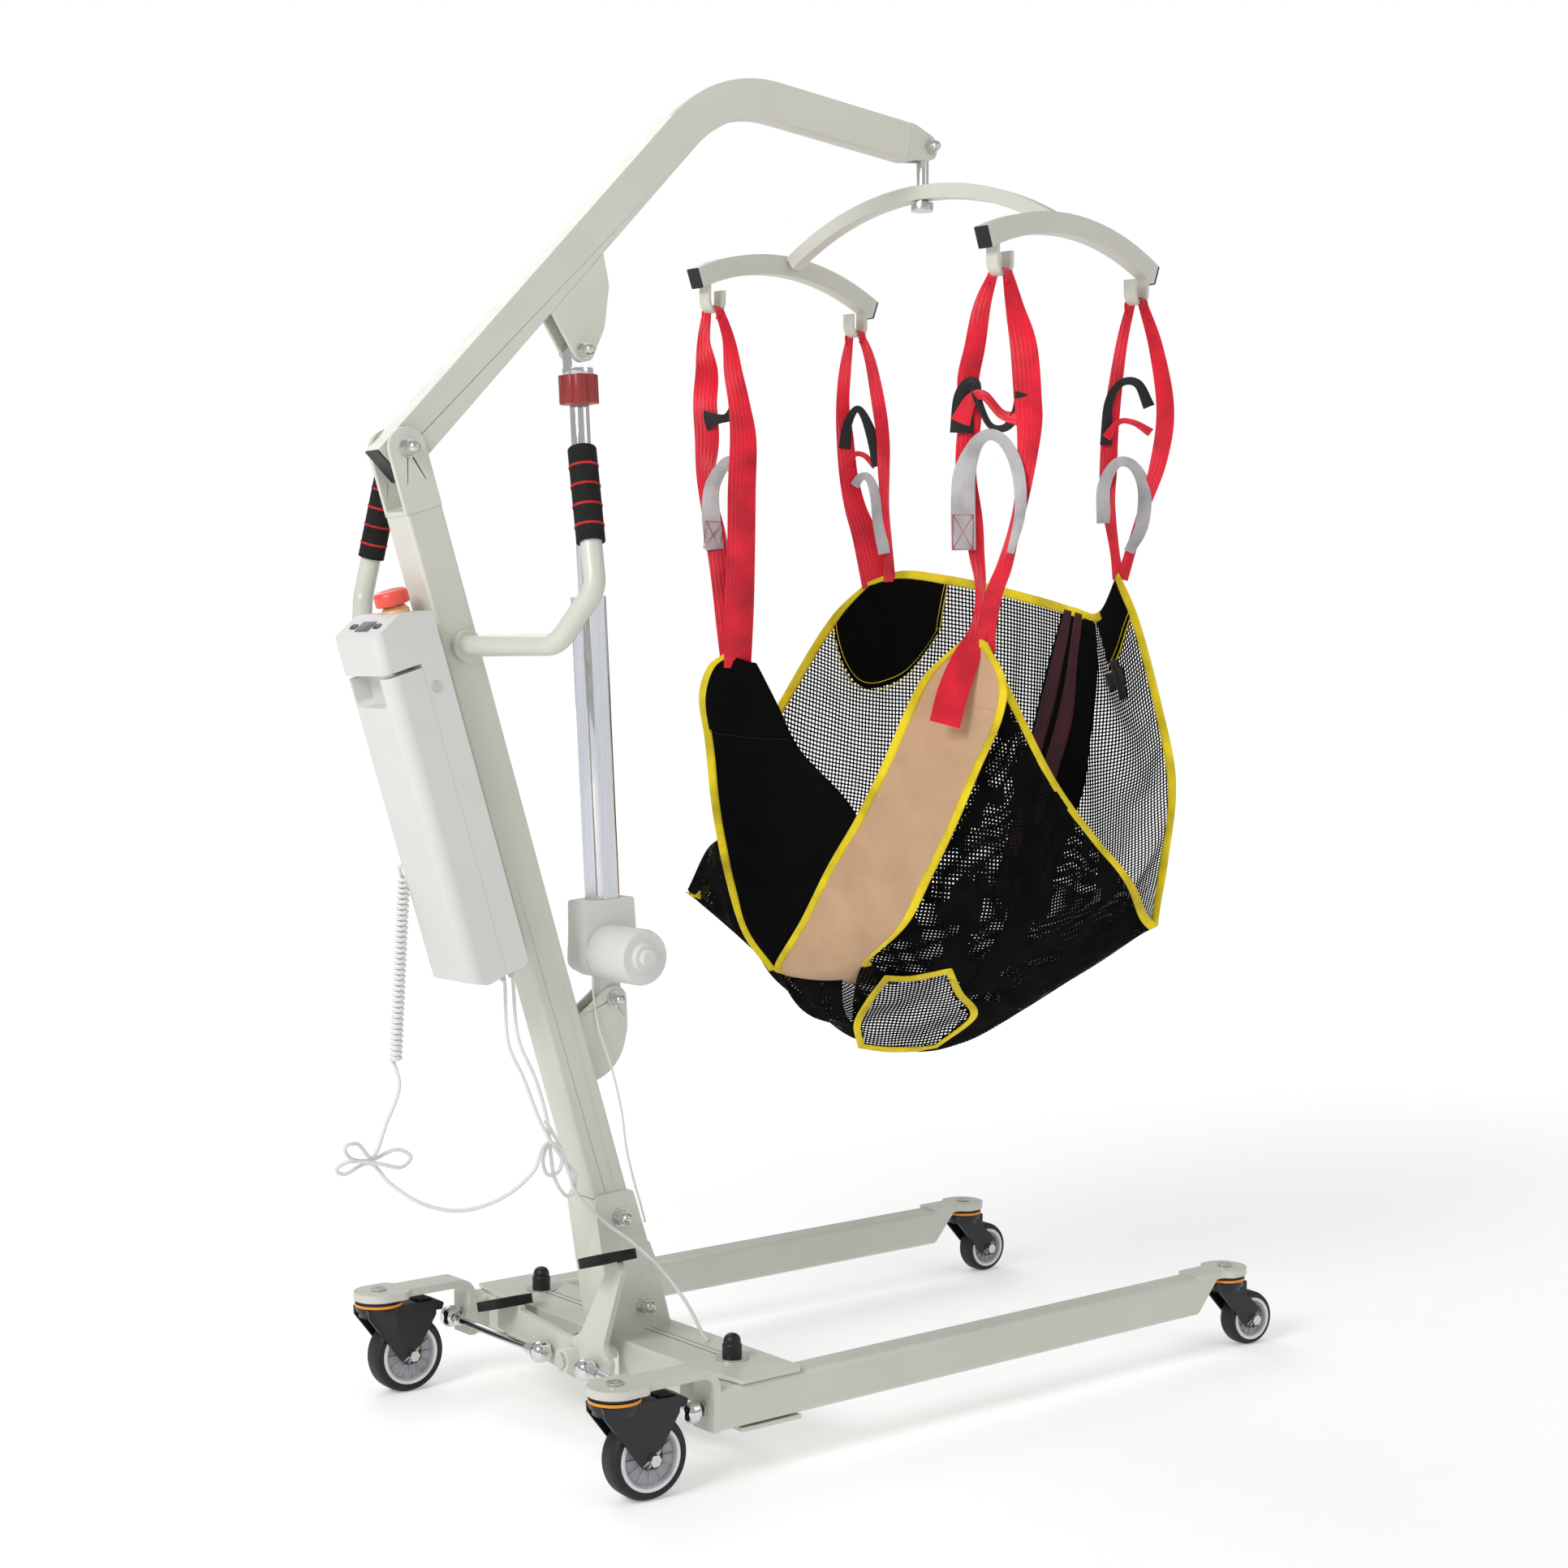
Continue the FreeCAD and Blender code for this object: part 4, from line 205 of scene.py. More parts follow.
def mesh_cloth(name, colour, pitch=4.6, gap=0.30, open_share=1.0, closed=0.0):
    """Open mesh cloth: rows of rounded holes that the light passes, knitted threads between them."""
    g = Graph(name)
    uv = g.add("ShaderNodeUVMap")
    split = g.add("ShaderNodeSeparateXYZ")
    g.join(uv, "UV", split, "Vector")
    waves = []
    for axis in ("X", "Y"):
        scaled = g.math("MULTIPLY", split.outputs[axis], 1 / (pitch * MM))
        cell = g.math("FRACT", scaled)
        away = g.math("ABSOLUTE", g.math("SUBTRACT", cell, 0.5))
        waves.append(g.math("POWER", away, 3.0))
    far = g.math("ADD", waves[0], waves[1])
    hole = g.math("LESS_THAN", far, gap ** 3)
    if closed:
        lie = g.place("Object", (1.0, 1.0, 0.45))
        lining = g.noise(lie, 26.0, 5.0)
        hole = g.math("MULTIPLY", hole, g.math("GREATER_THAN", lining.outputs["Fac"], closed))
    g.set(Roughness=0.95, Specular_IOR_Level=0.06)
    where = g.place("Object")
    drift = g.noise(where, 30.0, 3.0)
    shade = g.ramp(drift, "Fac", [(0.3, darker(colour, 0.6)), (0.7, darker(colour, 1.5))])
    g.join(shade, "Color", g.bsdf, "Base Color")
    g.bump(far, 0.6, 0.0006)
    clear = g.add("ShaderNodeBsdfTransparent")
    mix = g.add("ShaderNodeMixShader")
    g.links.new(g.math("MULTIPLY", hole, open_share), mix.inputs[0])
    g.links.new(g.bsdf.outputs[0], mix.inputs[1])
    g.links.new(clear.outputs[0], mix.inputs[2])
    g.links.new(mix.outputs[0], g.out.inputs["Surface"])
    return g.mat


def woven(name, colour, rough=0.6, pitch=0.9, sheen=0.3, depth=0.0003, fold=0.25):
    """Plain woven cloth: crossing threads, soft folds of shade."""
    g = Graph(name)
    uv = g.add("ShaderNodeUVMap")
    split = g.add("ShaderNodeSeparateXYZ")
    g.join(uv, "UV", split, "Vector")
    threads = []
    for axis in ("X", "Y"):
        turns = g.math("MULTIPLY", split.outputs[axis], 2 * math.pi / (pitch * MM))
        threads.append(g.math("SINE", turns))
    weave = g.math("MULTIPLY", threads[0], threads[1])
    where = g.place("Object")
    drift = g.noise(where, 22.0, 4.0)
    shade = g.ramp(drift, "Fac", [(0.25, darker(colour, 1 - fold)), (0.75, darker(colour, 1.08))])
    g.join(shade, "Color", g.bsdf, "Base Color")
    g.set(Roughness=rough, Sheen_Weight=sheen, Specular_IOR_Level=0.25 if sheen else 0.08)
    folds = g.noise(where, 14.0, 2.0)
    soft = g.bump(folds.outputs["Fac"], 0.35, 0.012)
    g.bump(weave, 0.5, depth, soft)
    return g.mat


def webbing(name, colour, rough=0.35, ribs=5.5):
    """Satin webbing: lengthwise ribs across the strap, fine cross threads, a silky sheen."""
    g = Graph(name)
    uv = g.add("ShaderNodeUVMap")
    split = g.add("ShaderNodeSeparateXYZ")
    g.join(uv, "UV", split, "Vector")
    rib = g.math("SINE", g.math("MULTIPLY", split.outputs["X"], 2 * math.pi / (ribs * MM)))
    thread = g.math("SINE", g.math("MULTIPLY", split.outputs["Y"], 2 * math.pi / (0.8 * MM)))
    height = g.math("ADD", g.math("MULTIPLY", rib, 0.8), g.math("MULTIPLY", thread, 0.25))
    where = g.place("Object")
    drift = g.noise(where, 18.0, 3.0)
    shade = g.ramp(drift, "Fac", [(0.3, darker(colour, 0.62)), (0.62, darker(colour, 1.1))])
    g.join(shade, "Color", g.bsdf, "Base Color")
    g.set(Roughness=rough, Sheen_Weight=0.12, Sheen_Roughness=0.3, Anisotropic=0.5, Specular_IOR_Level=0.35)
    g.bump(height, 0.5, 0.0003)
    return g.mat


def foam(name, colour):
    """Closed-cell foam rubber: small pits."""
    g = Graph(name)
    where = g.place("Object")
    pits = g.add("ShaderNodeTexVoronoi", Scale=900.0)
    g.join(where, "Vector", pits, "Vector")
    soft = g.noise(where, 60.0, 4.0)
    shade = g.ramp(soft, "Fac", [(0.3, darker(colour, 0.7)), (0.7, darker(colour, 1.5))])
    g.join(shade, "Color", g.bsdf, "Base Color")
    g.set(Roughness=0.85, Specular_IOR_Level=0.3)
    g.bump(pits.outputs["Distance"], 0.5, 0.0004)
    return g.mat


M = {
    # the frame paint gets a painted highlight on its sharp edges
    "paint": coated("off_white_powder_coat", PAINT, 0.36, 420.0, 0.00012, 0.05, coat=0.25, edge_highlight=0.35),
    "box": coated("box_moulding", BOX_WHITE, 0.5, 1500.0, 0.00008, 0.03),
    "box_shade": coated("box_moulding_shade", darker(BOX_WHITE, 0.8), 0.5, 1500.0, 0.00008, 0.03),
    "black": coated("black_moulding", darker(BLACK, 0.5), 0.42, 1200.0, 0.0001, 0.2),
    "fork": coated("caster_black", (0.004, 0.005, 0.008), 0.36, 500.0, 0.0001, 0.2, coat=0.1),
    "tyre": coated("tyre_rubber", (0.010, 0.010, 0.012), 0.55, 600.0, 0.0002, 0.3),
    "hub": coated("hub_nylon", (0.42, 0.43, 0.46), 0.45, 900.0, 0.00008, 0.06),
    "ring": coated("rim_white", (0.80, 0.80, 0.80), 0.35, 900.0, 0.00005, 0.04),
    "orange": coated("seal_orange", (0.85, 0.30, 0.01), 0.4, 900.0, 0.00005, 0.05),
    "zinc": brushed("zinc_plated_steel", (0.74, 0.73, 0.71), 0.28, (1, 1, 1)),
    "chrome": brushed("chrome_steel", (0.82, 0.82, 0.83), 0.09, (1, 1, 0.05)),
    "alu": brushed("aluminium_extrusion", (0.80, 0.84, 0.90), 0.42, (1, 1, 0.015), 0.55),
    "red_knob": coated("red_moulding", (0.30, 0.022, 0.022), 0.4, 700.0, 0.0001, 0.1, coat=0.2),
    "red_stop": coated("stop_red", (0.88, 0.085, 0.05), 0.35, 900.0, 0.00006, 0.06, coat=0.3),
    "amber": coated("collar_amber", (0.92, 0.60, 0.26), 0.4, 900.0, 0.00006, 0.06, coat=0.2),
    "board": coated("circuit_board", (0.02, 0.16, 0.06), 0.4, 300.0, 0.0002, 0.3),
    "lcd": coated("display_glass", (0.06, 0.07, 0.08), 0.45, 40.0, 0.00002, 0.2, coat=0.0),
    "dark_key": coated("key_dark", (0.05, 0.055, 0.07), 0.4, 900.0, 0.00005, 0.1),
    "cable": coated("cable_jacket", (0.78, 0.79, 0.77), 0.45, 900.0, 0.00005, 0.04),
    "foam": foam("foam_black", (0.009, 0.009, 0.009)),
    "foam_red": foam("foam_red", (0.45, 0.02, 0.02)),
    "pad": foam("tread_rubber", (0.016, 0.016, 0.017)),
    "mesh": mesh_cloth("mesh_black", (0.004, 0.004, 0.004), 5.3, 0.335),
    "mesh_fine": mesh_cloth("mesh_black_dense", (0.004, 0.004, 0.004), 5.3, 0.23, 1.0, 0.475),
    "mesh_solid": woven("mesh_backed_black", (0.003, 0.003, 0.003), 0.95, 2.6, 0.0, 0.0004),
    "beige": woven("beige_cloth", BEIGE, 0.85, 0.7, 0.15, 0.00015, 0.10),
    "binding": webbing("yellow_binding", YELLOW, 0.6, 3.0),
    "strap_red": webbing("red_satin_webbing", RED, 0.33),
    "strap_grey": webbing("grey_webbing", (0.50, 0.49, 0.50), 0.4, 4.0),
    "strap_black": webbing("black_webbing", (0.010, 0.010, 0.011), 0.5, 4.0),
    "band_red": webbing("dark_red_band", (0.045, 0.003, 0.008), 0.6, 9.0),
    "stitch": coated("stitch_thread", (0.55, 0.03, 0.05), 0.6, 900.0, 0.0001, 0.1),
}

CAD_LOOKS = {
    "paint": ["base_plate", "mast_foot_bracket", "mast_tube", "mast_head_clevis", "actuator_mast_bracket",
              "push_handles",
              "leg_left", "leg_right", "rear_caster_bracket_left", "rear_caster_bracket_right",
              "pedal_lever",
              "boom_tube", "boom_nose_clevis", "boom_lift_bracket", "spreader_frame", "spreader_hooks"],
    "black": ["leg_pivot_caps", "boom_tail_plug", "spreader_end_caps", "brake_pedal_rear_left",
              "brake_pedal_rear_right"],
    "zinc": ["frame_bolts", "boom_bolts", "estop_stem", "pedal_axle", "hanger_stud"],
    "chrome": ["actuator_rod", "tie_rod_left", "tie_rod_right"],
    "alu": ["actuator_tube"],
    "box": ["control_box_housing", "battery_pack", "actuator_gear_housing", "actuator_motor_can"],
    "box_shade": ["battery_latch"],
    "amber": ["estop_collar"],
    "red_stop": ["estop_head"],
    "red_knob": ["emergency_lowering_knob"],
    "board": ["control_board"],
    "lcd": ["display_window"],
    "dark_key": ["up_button", "down_button"],
    "foam": ["handle_grips"],
    "pad": ["pedal_pads"],
}


EDGE_SIZES = {"pedal_pads": 0.0045, "spreader_end_caps": 0.0012, "control_board": 0.0003}


def paint_faces(obj, material, chooser):
    """Give the faces that the chooser accepts (centre, normal) another material."""
    obj.data.materials.append(material)
    index = len(obj.data.materials) - 1
    for poly in obj.data.polygons:
        if chooser(Vector(poly.center), Vector(poly.normal)):
            poly.material_index = index


ACTUATOR_LEAN = math.radians(3.27)
FLAT_ENOUGH = 0.985
FORK_SEATS = (("front", 105.0), ("rear", 128.0))
AXLE_BOLT_REACH = 8.2
AXLE_BOLT_START = 16.0
KINGPIN_START = 9.0
STUD_HEIGHT = 86.0
BRACKET_STUD_LINE = 268.0
BRACKET_STUD_REACH = 10.5
BRACKET_REAR_FACE = -88.2
ROCKER_STUD_LINE = 50.0
ROCKER_STUD_REACH = 9.2
ROCKER_FACES = (-90.3, -81.9)


def dress_mixed():
    """Bolts, kingpins and polished edges inside nodes that are mostly something else."""
    tube = frame["nodes"]["actuator_tube"]
    lean = Matrix.Rotation(-ACTUATOR_LEAN, 3, "Y")

    def rounded_edge(centre, normal):
        n = lean.inverted() @ normal
        return max(abs(n.x), abs(n.y), abs(n.z)) < FLAT_ENOUGH

    paint_faces(tube, M["chrome"], rounded_edge)
    for end, seat in FORK_SEATS:
        for side in ("left", "right"):
            key = "%s_%s" % (end, side)
            roll = JOINTS["caster_%s_roll" % key]
            centre_of_roll, axis = Vector(roll["pos_m"]), Vector(roll["axis"]).normalized()

            def bolt(centre, normal):
                away = centre - centre_of_roll
                along = away.dot(axis)
                near_axis = (away - axis * along).length < AXLE_BOLT_REACH * MM
                return near_axis and abs(along) > AXLE_BOLT_START * MM

            def king(centre, normal):
                return centre.z > (seat + KINGPIN_START) * MM

            fork = frame["nodes"]["caster_fork_" + key]
            paint_faces(fork, M["zinc"], bolt)
            paint_faces(fork, M["zinc"], king)
    for side in ("left", "right"):
        bracket = frame["nodes"]["rear_caster_bracket_" + side]
        stud_line = BRACKET_STUD_LINE * MM * (1 if side == "left" else -1)

        def stud(centre, normal):
            away = Vector((0, centre.y - stud_line, centre.z - STUD_HEIGHT * MM))
            return centre.x < BRACKET_REAR_FACE * MM and away.length < BRACKET_STUD_REACH * MM

        paint_faces(bracket, M["zinc"], stud)
    rocker = frame["nodes"]["pedal_lever"]

    def rocker_stud(centre, normal):
        away = Vector((0, abs(centre.y) - ROCKER_STUD_LINE * MM, centre.z - STUD_HEIGHT * MM))
        outside = centre.x < ROCKER_FACES[0] * MM or centre.x > ROCKER_FACES[1] * MM
        return away.length < ROCKER_STUD_REACH * MM and outside

    paint_faces(rocker, M["zinc"], rocker_stud)


def dress_cad():
    """Give every CAD node its material and a small rounded edge."""
    looks = {node: key for key, nodes in CAD_LOOKS.items() for node in nodes}
    for node in frame["nodes"]:
        if node.startswith("caster_fork"):
            looks[node] = "fork"
        elif node.startswith("caster_tyre"):
            looks[node] = "tyre"
        elif node.startswith("caster_hub"):
            looks[node] = "hub"
    for node, obj in frame["nodes"].items():
        key = looks.get(node)
        if key is None:
            continue
        obj.data.materials.clear()
        obj.data.materials.append(M[key])
        if key not in ("foam", "board"):
            weld = obj.modifiers.new("weld", "WELD")
            weld.merge_threshold = 0.00002
            bevel = obj.modifiers.new("edge", "BEVEL")
            bevel.width = EDGE_SIZES.get(node, 0.0009)
            bevel.segments = 2
            bevel.limit_method = "ANGLE"
            bevel.angle_limit = math.radians(40)
            bevel.harden_normals = False


# ---------------------------------------------------------------- mesh helpers

def finish_mesh(name, verts, faces, material, body=None, smooth=True, uvs=None):
    """A mesh object from corner and face lists, riding on a body."""
    mesh = bpy.data.meshes.new(name)
    mesh.from_pydata([tuple(v) for v in verts], [], faces)
    if uvs is not None:
        layer = mesh.uv_layers.new(name="UVMap")
        for loop in mesh.loops:
            layer.data[loop.index].uv = uvs[loop.vertex_index]
    mesh.validate()
    for poly in mesh.polygons:
        poly.use_smooth = smooth
    obj = bpy.data.objects.new(name, mesh)
    bpy.context.scene.collection.objects.link(obj)
    mesh.materials.append(material)
    if body:
        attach(obj, body)
    return obj


def catmull(points, t):
    """A point on the smooth curve through the points, t from 0 to 1."""
    count = len(points) - 1
    place = min(max(t, 0.0), 1.0) * count
    i = min(int(place), count - 1)
    f = place - i
    p1, p2 = Vector(points[i]), Vector(points[i + 1])
    p0 = Vector(points[i - 1]) if i > 0 else p1 * 2 - p2
    p3 = Vector(points[i + 2]) if i + 2 <= count else p2 * 2 - p1
    return 0.5 * ((2 * p1) + (p2 - p0) * f + (2 * p0 - 5 * p1 + 4 * p2 - p3) * f * f
                  + (3 * p1 - p0 - 3 * p2 + p3) * f ** 3)


def tube(name, points, radius, material, body, sides=12, steps=8, closed_ends=True, flat=1.0):
    """A round cord on a smooth curve, in row metres."""
    count = (len(points) - 1) * steps
    centres = [catmull(points, k / count) for k in range(count + 1)]
    verts, faces, uvs = [], [], []
    normal = None
    run = 0.0
    for k, centre in enumerate(centres):
        ahead = (centres[min(k + 1, count)] - centres[max(k - 1, 0)]).normalized()
        if normal is None:
            normal = ahead.orthogonal().normalized()
        normal = (normal - ahead * normal.dot(ahead)).normalized()
        side = ahead.cross(normal)
        if k:
            run += (centre - centres[k - 1]).length
        for s in range(sides):
            a = 2 * math.pi * s / sides
            verts.append(centre + normal * (radius * math.cos(a)) + side * (radius * flat * math.sin(a)))
            uvs.append((2 * math.pi * radius * s / sides, run))
    for k in range(count):
        for s in range(sides):
            n = (s + 1) % sides
            faces.append((k * sides + s, k * sides + n, (k + 1) * sides + n, (k + 1) * sides + s))
    if closed_ends:
        faces.append(tuple(reversed(range(sides))))
        faces.append(tuple(range(count * sides, (count + 1) * sides)))
    return finish_mesh(name, verts, faces, material, body, True, uvs)


def lathe(name, profile, place, material, body, steps=48, smooth=True):
    """A turned piece: a closed profile of (radius, height) in millimetres about a placement's Z axis."""
    verts, faces = [], []
    count = len(profile)
    for s in range(steps):
        a = 2 * math.pi * s / steps
        for r, h in profile:
            verts.append(place @ Vector((r * MM * math.cos(a), r * MM * math.sin(a), h * MM)))
    for s in range(steps):
        n = (s + 1) % steps
        for k in range(count):
            k2 = (k + 1) % count
            faces.append((s * count + k, n * count + k, n * count + k2, s * count + k2))
    obj = finish_mesh(name, verts, faces, material, None, smooth)
    tidy_mesh(obj)
    sharpen(obj)
    if body:
        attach(obj, body)
    return obj


def tidy_mesh(obj):
    """Merge touching corners, drop empty faces and turn the faces outward."""
    mesh = bmesh.new()
    mesh.from_mesh(obj.data)
    bmesh.ops.remove_doubles(mesh, verts=mesh.verts, dist=1e-6)
    bmesh.ops.dissolve_degenerate(mesh, dist=1e-6, edges=mesh.edges)
    bmesh.ops.recalc_face_normals(mesh, faces=mesh.faces)
    mesh.to_mesh(obj.data)
    mesh.free()


def sharpen(obj, degrees=35):
    """Mark hard edges so that smooth shading keeps them."""
    obj.data.set_sharp_from_angle(angle=math.radians(degrees))


def rounded_box(name, size, place, material, body, edge=1.0, segments=3):
    """A box with rounded edges; size and edge in millimetres, centred on the placement."""
    mesh = bmesh.new()
    bmesh.ops.create_cube(mesh, size=1.0)
    bmesh.ops.scale(mesh, vec=[s * MM for s in size], verts=mesh.verts)
    bmesh.ops.bevel(mesh, geom=mesh.edges[:], offset=edge * MM, segments=segments, profile=0.5,
                    affect="EDGES")
    mesh.transform(place)
    data = bpy.data.meshes.new(name)
    mesh.to_mesh(data)
    mesh.free()
    for poly in data.polygons:
        poly.use_smooth = True
    data.materials.append(material)
    obj = bpy.data.objects.new(name, data)
    bpy.context.scene.collection.objects.link(obj)
    sharpen(obj, 50)
    if body:
        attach(obj, body)
    return obj


def axes_place(origin, z_axis, x_hint=Vector((0, 1, 0))):
    """A placement at an origin whose Z axis points one way and X axis close to the hint."""
    z = Vector(z_axis).normalized()
    x = (Vector(x_hint) - z * Vector(x_hint).dot(z)).normalized()
    y = z.cross(x)
    return Matrix(((x.x, y.x, z.x, origin[0]), (x.y, y.y, z.y, origin[1]), (x.z, y.z, z.z, origin[2]),
                   (0, 0, 0, 1)))


# ---------------------------------------------------------------- sling sheets


def surface_point(rows, u, v):
    """A point of a smooth sheet through a grid of rows: u along a row, v across the rows."""
    return catmull([catmull(row, u) for row in rows], v)


SMOOTH_PASSES = 6


class Sheet:
    """A grid of cloth points, its edges and its shape after draping."""

    def __init__(self, name, rows, across, down, ripple=0.0, waves=3.0, seed=0.0):
        self.name = name
        self.across = across
        self.down = down
        self.points = []
        for j in range(down + 1):
            v = j / down
            for i in range(across + 1):
                u = i / across
                self.points.append(in_spreader(surface_point(rows, u, v)))
        if ripple:
            self.crumple(ripple, waves, seed)

    def at(self, i, j):
        return self.points[j * (self.across + 1) + i]

    def sample(self, u, v):
        """A place on the cloth between its grid points, and the cloth's normal there."""
        x = min(max(u, 0.0), 1.0) * self.across
        y = min(max(v, 0.0), 1.0) * self.down
        i, j = min(int(x), self.across - 1), min(int(y), self.down - 1)
        fx, fy = x - i, y - j
        top = self.at(i, j).lerp(self.at(i + 1, j), fx)
        low = self.at(i, j + 1).lerp(self.at(i + 1, j + 1), fx)
        return top.lerp(low, fy), self.normal(i, j)

    def normal(self, i, j):
        a, d = self.across, self.down
        along = self.at(min(i + 1, a), j) - self.at(max(i - 1, 0), j)
        away = self.at(i, min(j + 1, d)) - self.at(i, max(j - 1, 0))
        cross = along.cross(away)
        return cross.normalized() if cross.length > 1e-12 else Vector((0, 0, 1))

    def crumple(self, ripple, waves, seed):
        """Soft folds that run down the cloth and fade out at its edges."""
        moved = list(self.points)
        for j in range(self.down + 1):
            for i in range(self.across + 1):
                u, v = i / self.across, j / self.down
                fade = min(1.0, 6 * u, 6 * (1 - u)) * min(1.0, 5 * v, 5 * (1 - v))
                bend = math.sin(v * 3.1 + seed) * 0.6
                wave = math.sin((u * waves + bend) * 2 * math.pi + seed)
                wave += 0.5 * math.sin((u * waves * 2.3 - v * 1.7) * 2 * math.pi + seed * 2)
                wave += 0.4 * math.sin((u * waves * 0.7 + v * 2.9) * 2 * math.pi + seed * 3)
                k = j * (self.across + 1) + i
                moved[k] = self.points[k] + self.normal(i, j) * (ripple * MM * wave * fade)
        self.points = moved

    def uvs(self):
        """Cloth distances in metres from the sheet's middle column and top row."""
        a, d = self.across, self.down
        mid = a // 2
        down = [0.0]
        for j in range(1, d + 1):
            down.append(down[-1] + (self.at(mid, j) - self.at(mid, j - 1)).length)
        table = {}
        for j in range(d + 1):
            run = [0.0]
            for i in range(1, a + 1):
                run.append(run[-1] + (self.at(i, j) - self.at(i - 1, j)).length)
            for i in range(a + 1):
                table[j * (a + 1) + i] = (run[i] - run[mid], down[j])
        return table

    def faces(self):
        w = self.across + 1
        return [(j * w + i, j * w + i + 1, (j + 1) * w + i + 1, (j + 1) * w + i)
                for j in range(self.down) for i in range(self.across)]

    def drape(self, frames, stretch):
        """Let the cloth fall between its fixed edges for a few frames, then keep the shape."""
        mesh = bpy.data.meshes.new(self.name + "_sim")
        mesh.from_pydata([tuple(p) for p in self.points], [], self.faces())
        obj = bpy.data.objects.new(self.name + "_sim", mesh)
        scene = bpy.context.scene
        scene.collection.objects.link(obj)
        pins = obj.vertex_groups.new(name="pins")
        a, d = self.across, self.down
        rim = [j * (a + 1) + i for j in range(d + 1) for i in range(a + 1) if i in (0, a) or j in (0, d)]
        pins.add(rim, 1.0, "REPLACE")
        cloth = obj.modifiers.new("cloth", "CLOTH")
        cloth.settings.quality = 6
        cloth.settings.mass = 0.25
        cloth.settings.tension_stiffness = 20
        cloth.settings.compression_stiffness = 8
        cloth.settings.shear_stiffness = 5
        cloth.settings.bending_stiffness = 1.5
        cloth.settings.vertex_group_mass = "pins"
        cloth.settings.shrink_min = -stretch
        cloth.collision_settings.use_self_collision = False
        cloth.point_cache.frame_start = 1
        cloth.point_cache.frame_end = frames
        for number in range(1, frames + 1):
            scene.frame_set(number)
        result = obj.evaluated_get(bpy.context.evaluated_depsgraph_get())
        limit = 0.035
        w = a + 1
        shifts = []
        for k, vertex in enumerate(result.data.vertices):
            shift = Vector(vertex.co) - self.points[k]
            shifts.append(shift.normalized() * limit if shift.length > limit else shift)
        for _ in range(SMOOTH_PASSES):
            before = list(shifts)
            for j in range(1, d):
                for i in range(1, a):
                    k = j * w + i
                    around = before[k - 1] + before[k + 1] + before[k - w] + before[k + w]
                    shifts[k] = before[k] * 0.4 + around * 0.15
        self.points = [point + shift for point, shift in zip(self.points, shifts)]
        bpy.data.objects.remove(obj, do_unlink=True)
        scene.frame_set(1)

    def build(self, material, thick=1.0, zones=None, window=None):
        """The cloth as a thin closed solid; zones pick other materials, a window leaves faces out."""
        uvs = self.uvs()
        verts = list(self.points)
        faces = self.faces()
        obj = finish_mesh(self.name, verts, faces, material, None, True, uvs)
        if zones:
            for extra, chooser in zones:
                obj.data.materials.append(extra)
                index = len(obj.data.materials) - 1
                for number, poly in enumerate(obj.data.polygons):
                    i, j = number % self.across, number // self.across
                    if chooser((i + 0.5) / self.across, (j + 0.5) / self.down):
                        poly.material_index = index
        if window:
            mesh = bmesh.new()
            mesh.from_mesh(obj.data)
            gone = [face for face in mesh.faces if window(face.calc_center_median())]
            bmesh.ops.delete(mesh, geom=gone, context="FACES")
            mesh.to_mesh(obj.data)
            mesh.free()
        solid = obj.modifiers.new("thick", "SOLIDIFY")
        solid.thickness = thick * MM
        solid.offset = 0.0
        hang(obj)
        return obj


def apply_all(obj):
    """Turn the modifiers into plain mesh."""
    graph = bpy.context.evaluated_depsgraph_get()
    graph.update()
    mesh = bpy.data.meshes.new_from_object(obj.evaluated_get(graph))
    obj.modifiers.clear()
    obj.data = mesh


def hang(obj):
    """A sling piece: rides on the spreader."""
    apply_all(obj)
    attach(obj, "spreader")
    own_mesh(obj)
    return obj


def inward_path(sheet, side, number, depth):
    """Places going in from an edge over the cloth, at a few even distances up to the depth, in metres."""
    a, d = sheet.across, sheet.down
    cells = {"top": lambda k: (number, k), "bottom": lambda k: (number, d - k),
             "left": lambda k: (k, number), "right": lambda k: (a - k, number)}[side]
    limit = (d if side in ("top", "bottom") else a) // 2
    walk = [sheet.at(*cells(k)) for k in range(limit + 1)]
    normals = [sheet.normal(*cells(k)) for k in range(limit + 1)]
    run = [0.0]
    for k in range(1, limit + 1):
        run.append(run[-1] + (walk[k] - walk[k - 1]).length)
    found = []
    k = 0
    for step in range(TAPE_STEPS + 1):
        want = min(depth * step / TAPE_STEPS, run[-1] * 0.98)
        while run[k + 1] < want:
            k += 1
        f = (want - run[k]) / max(run[k + 1] - run[k], 1e-9)
        found.append((walk[k].lerp(walk[k + 1], f), normals[k].lerp(normals[k + 1], f).normalized()))
    return found


TAPE_STEPS = 3
TAPE_RISE = 1.1


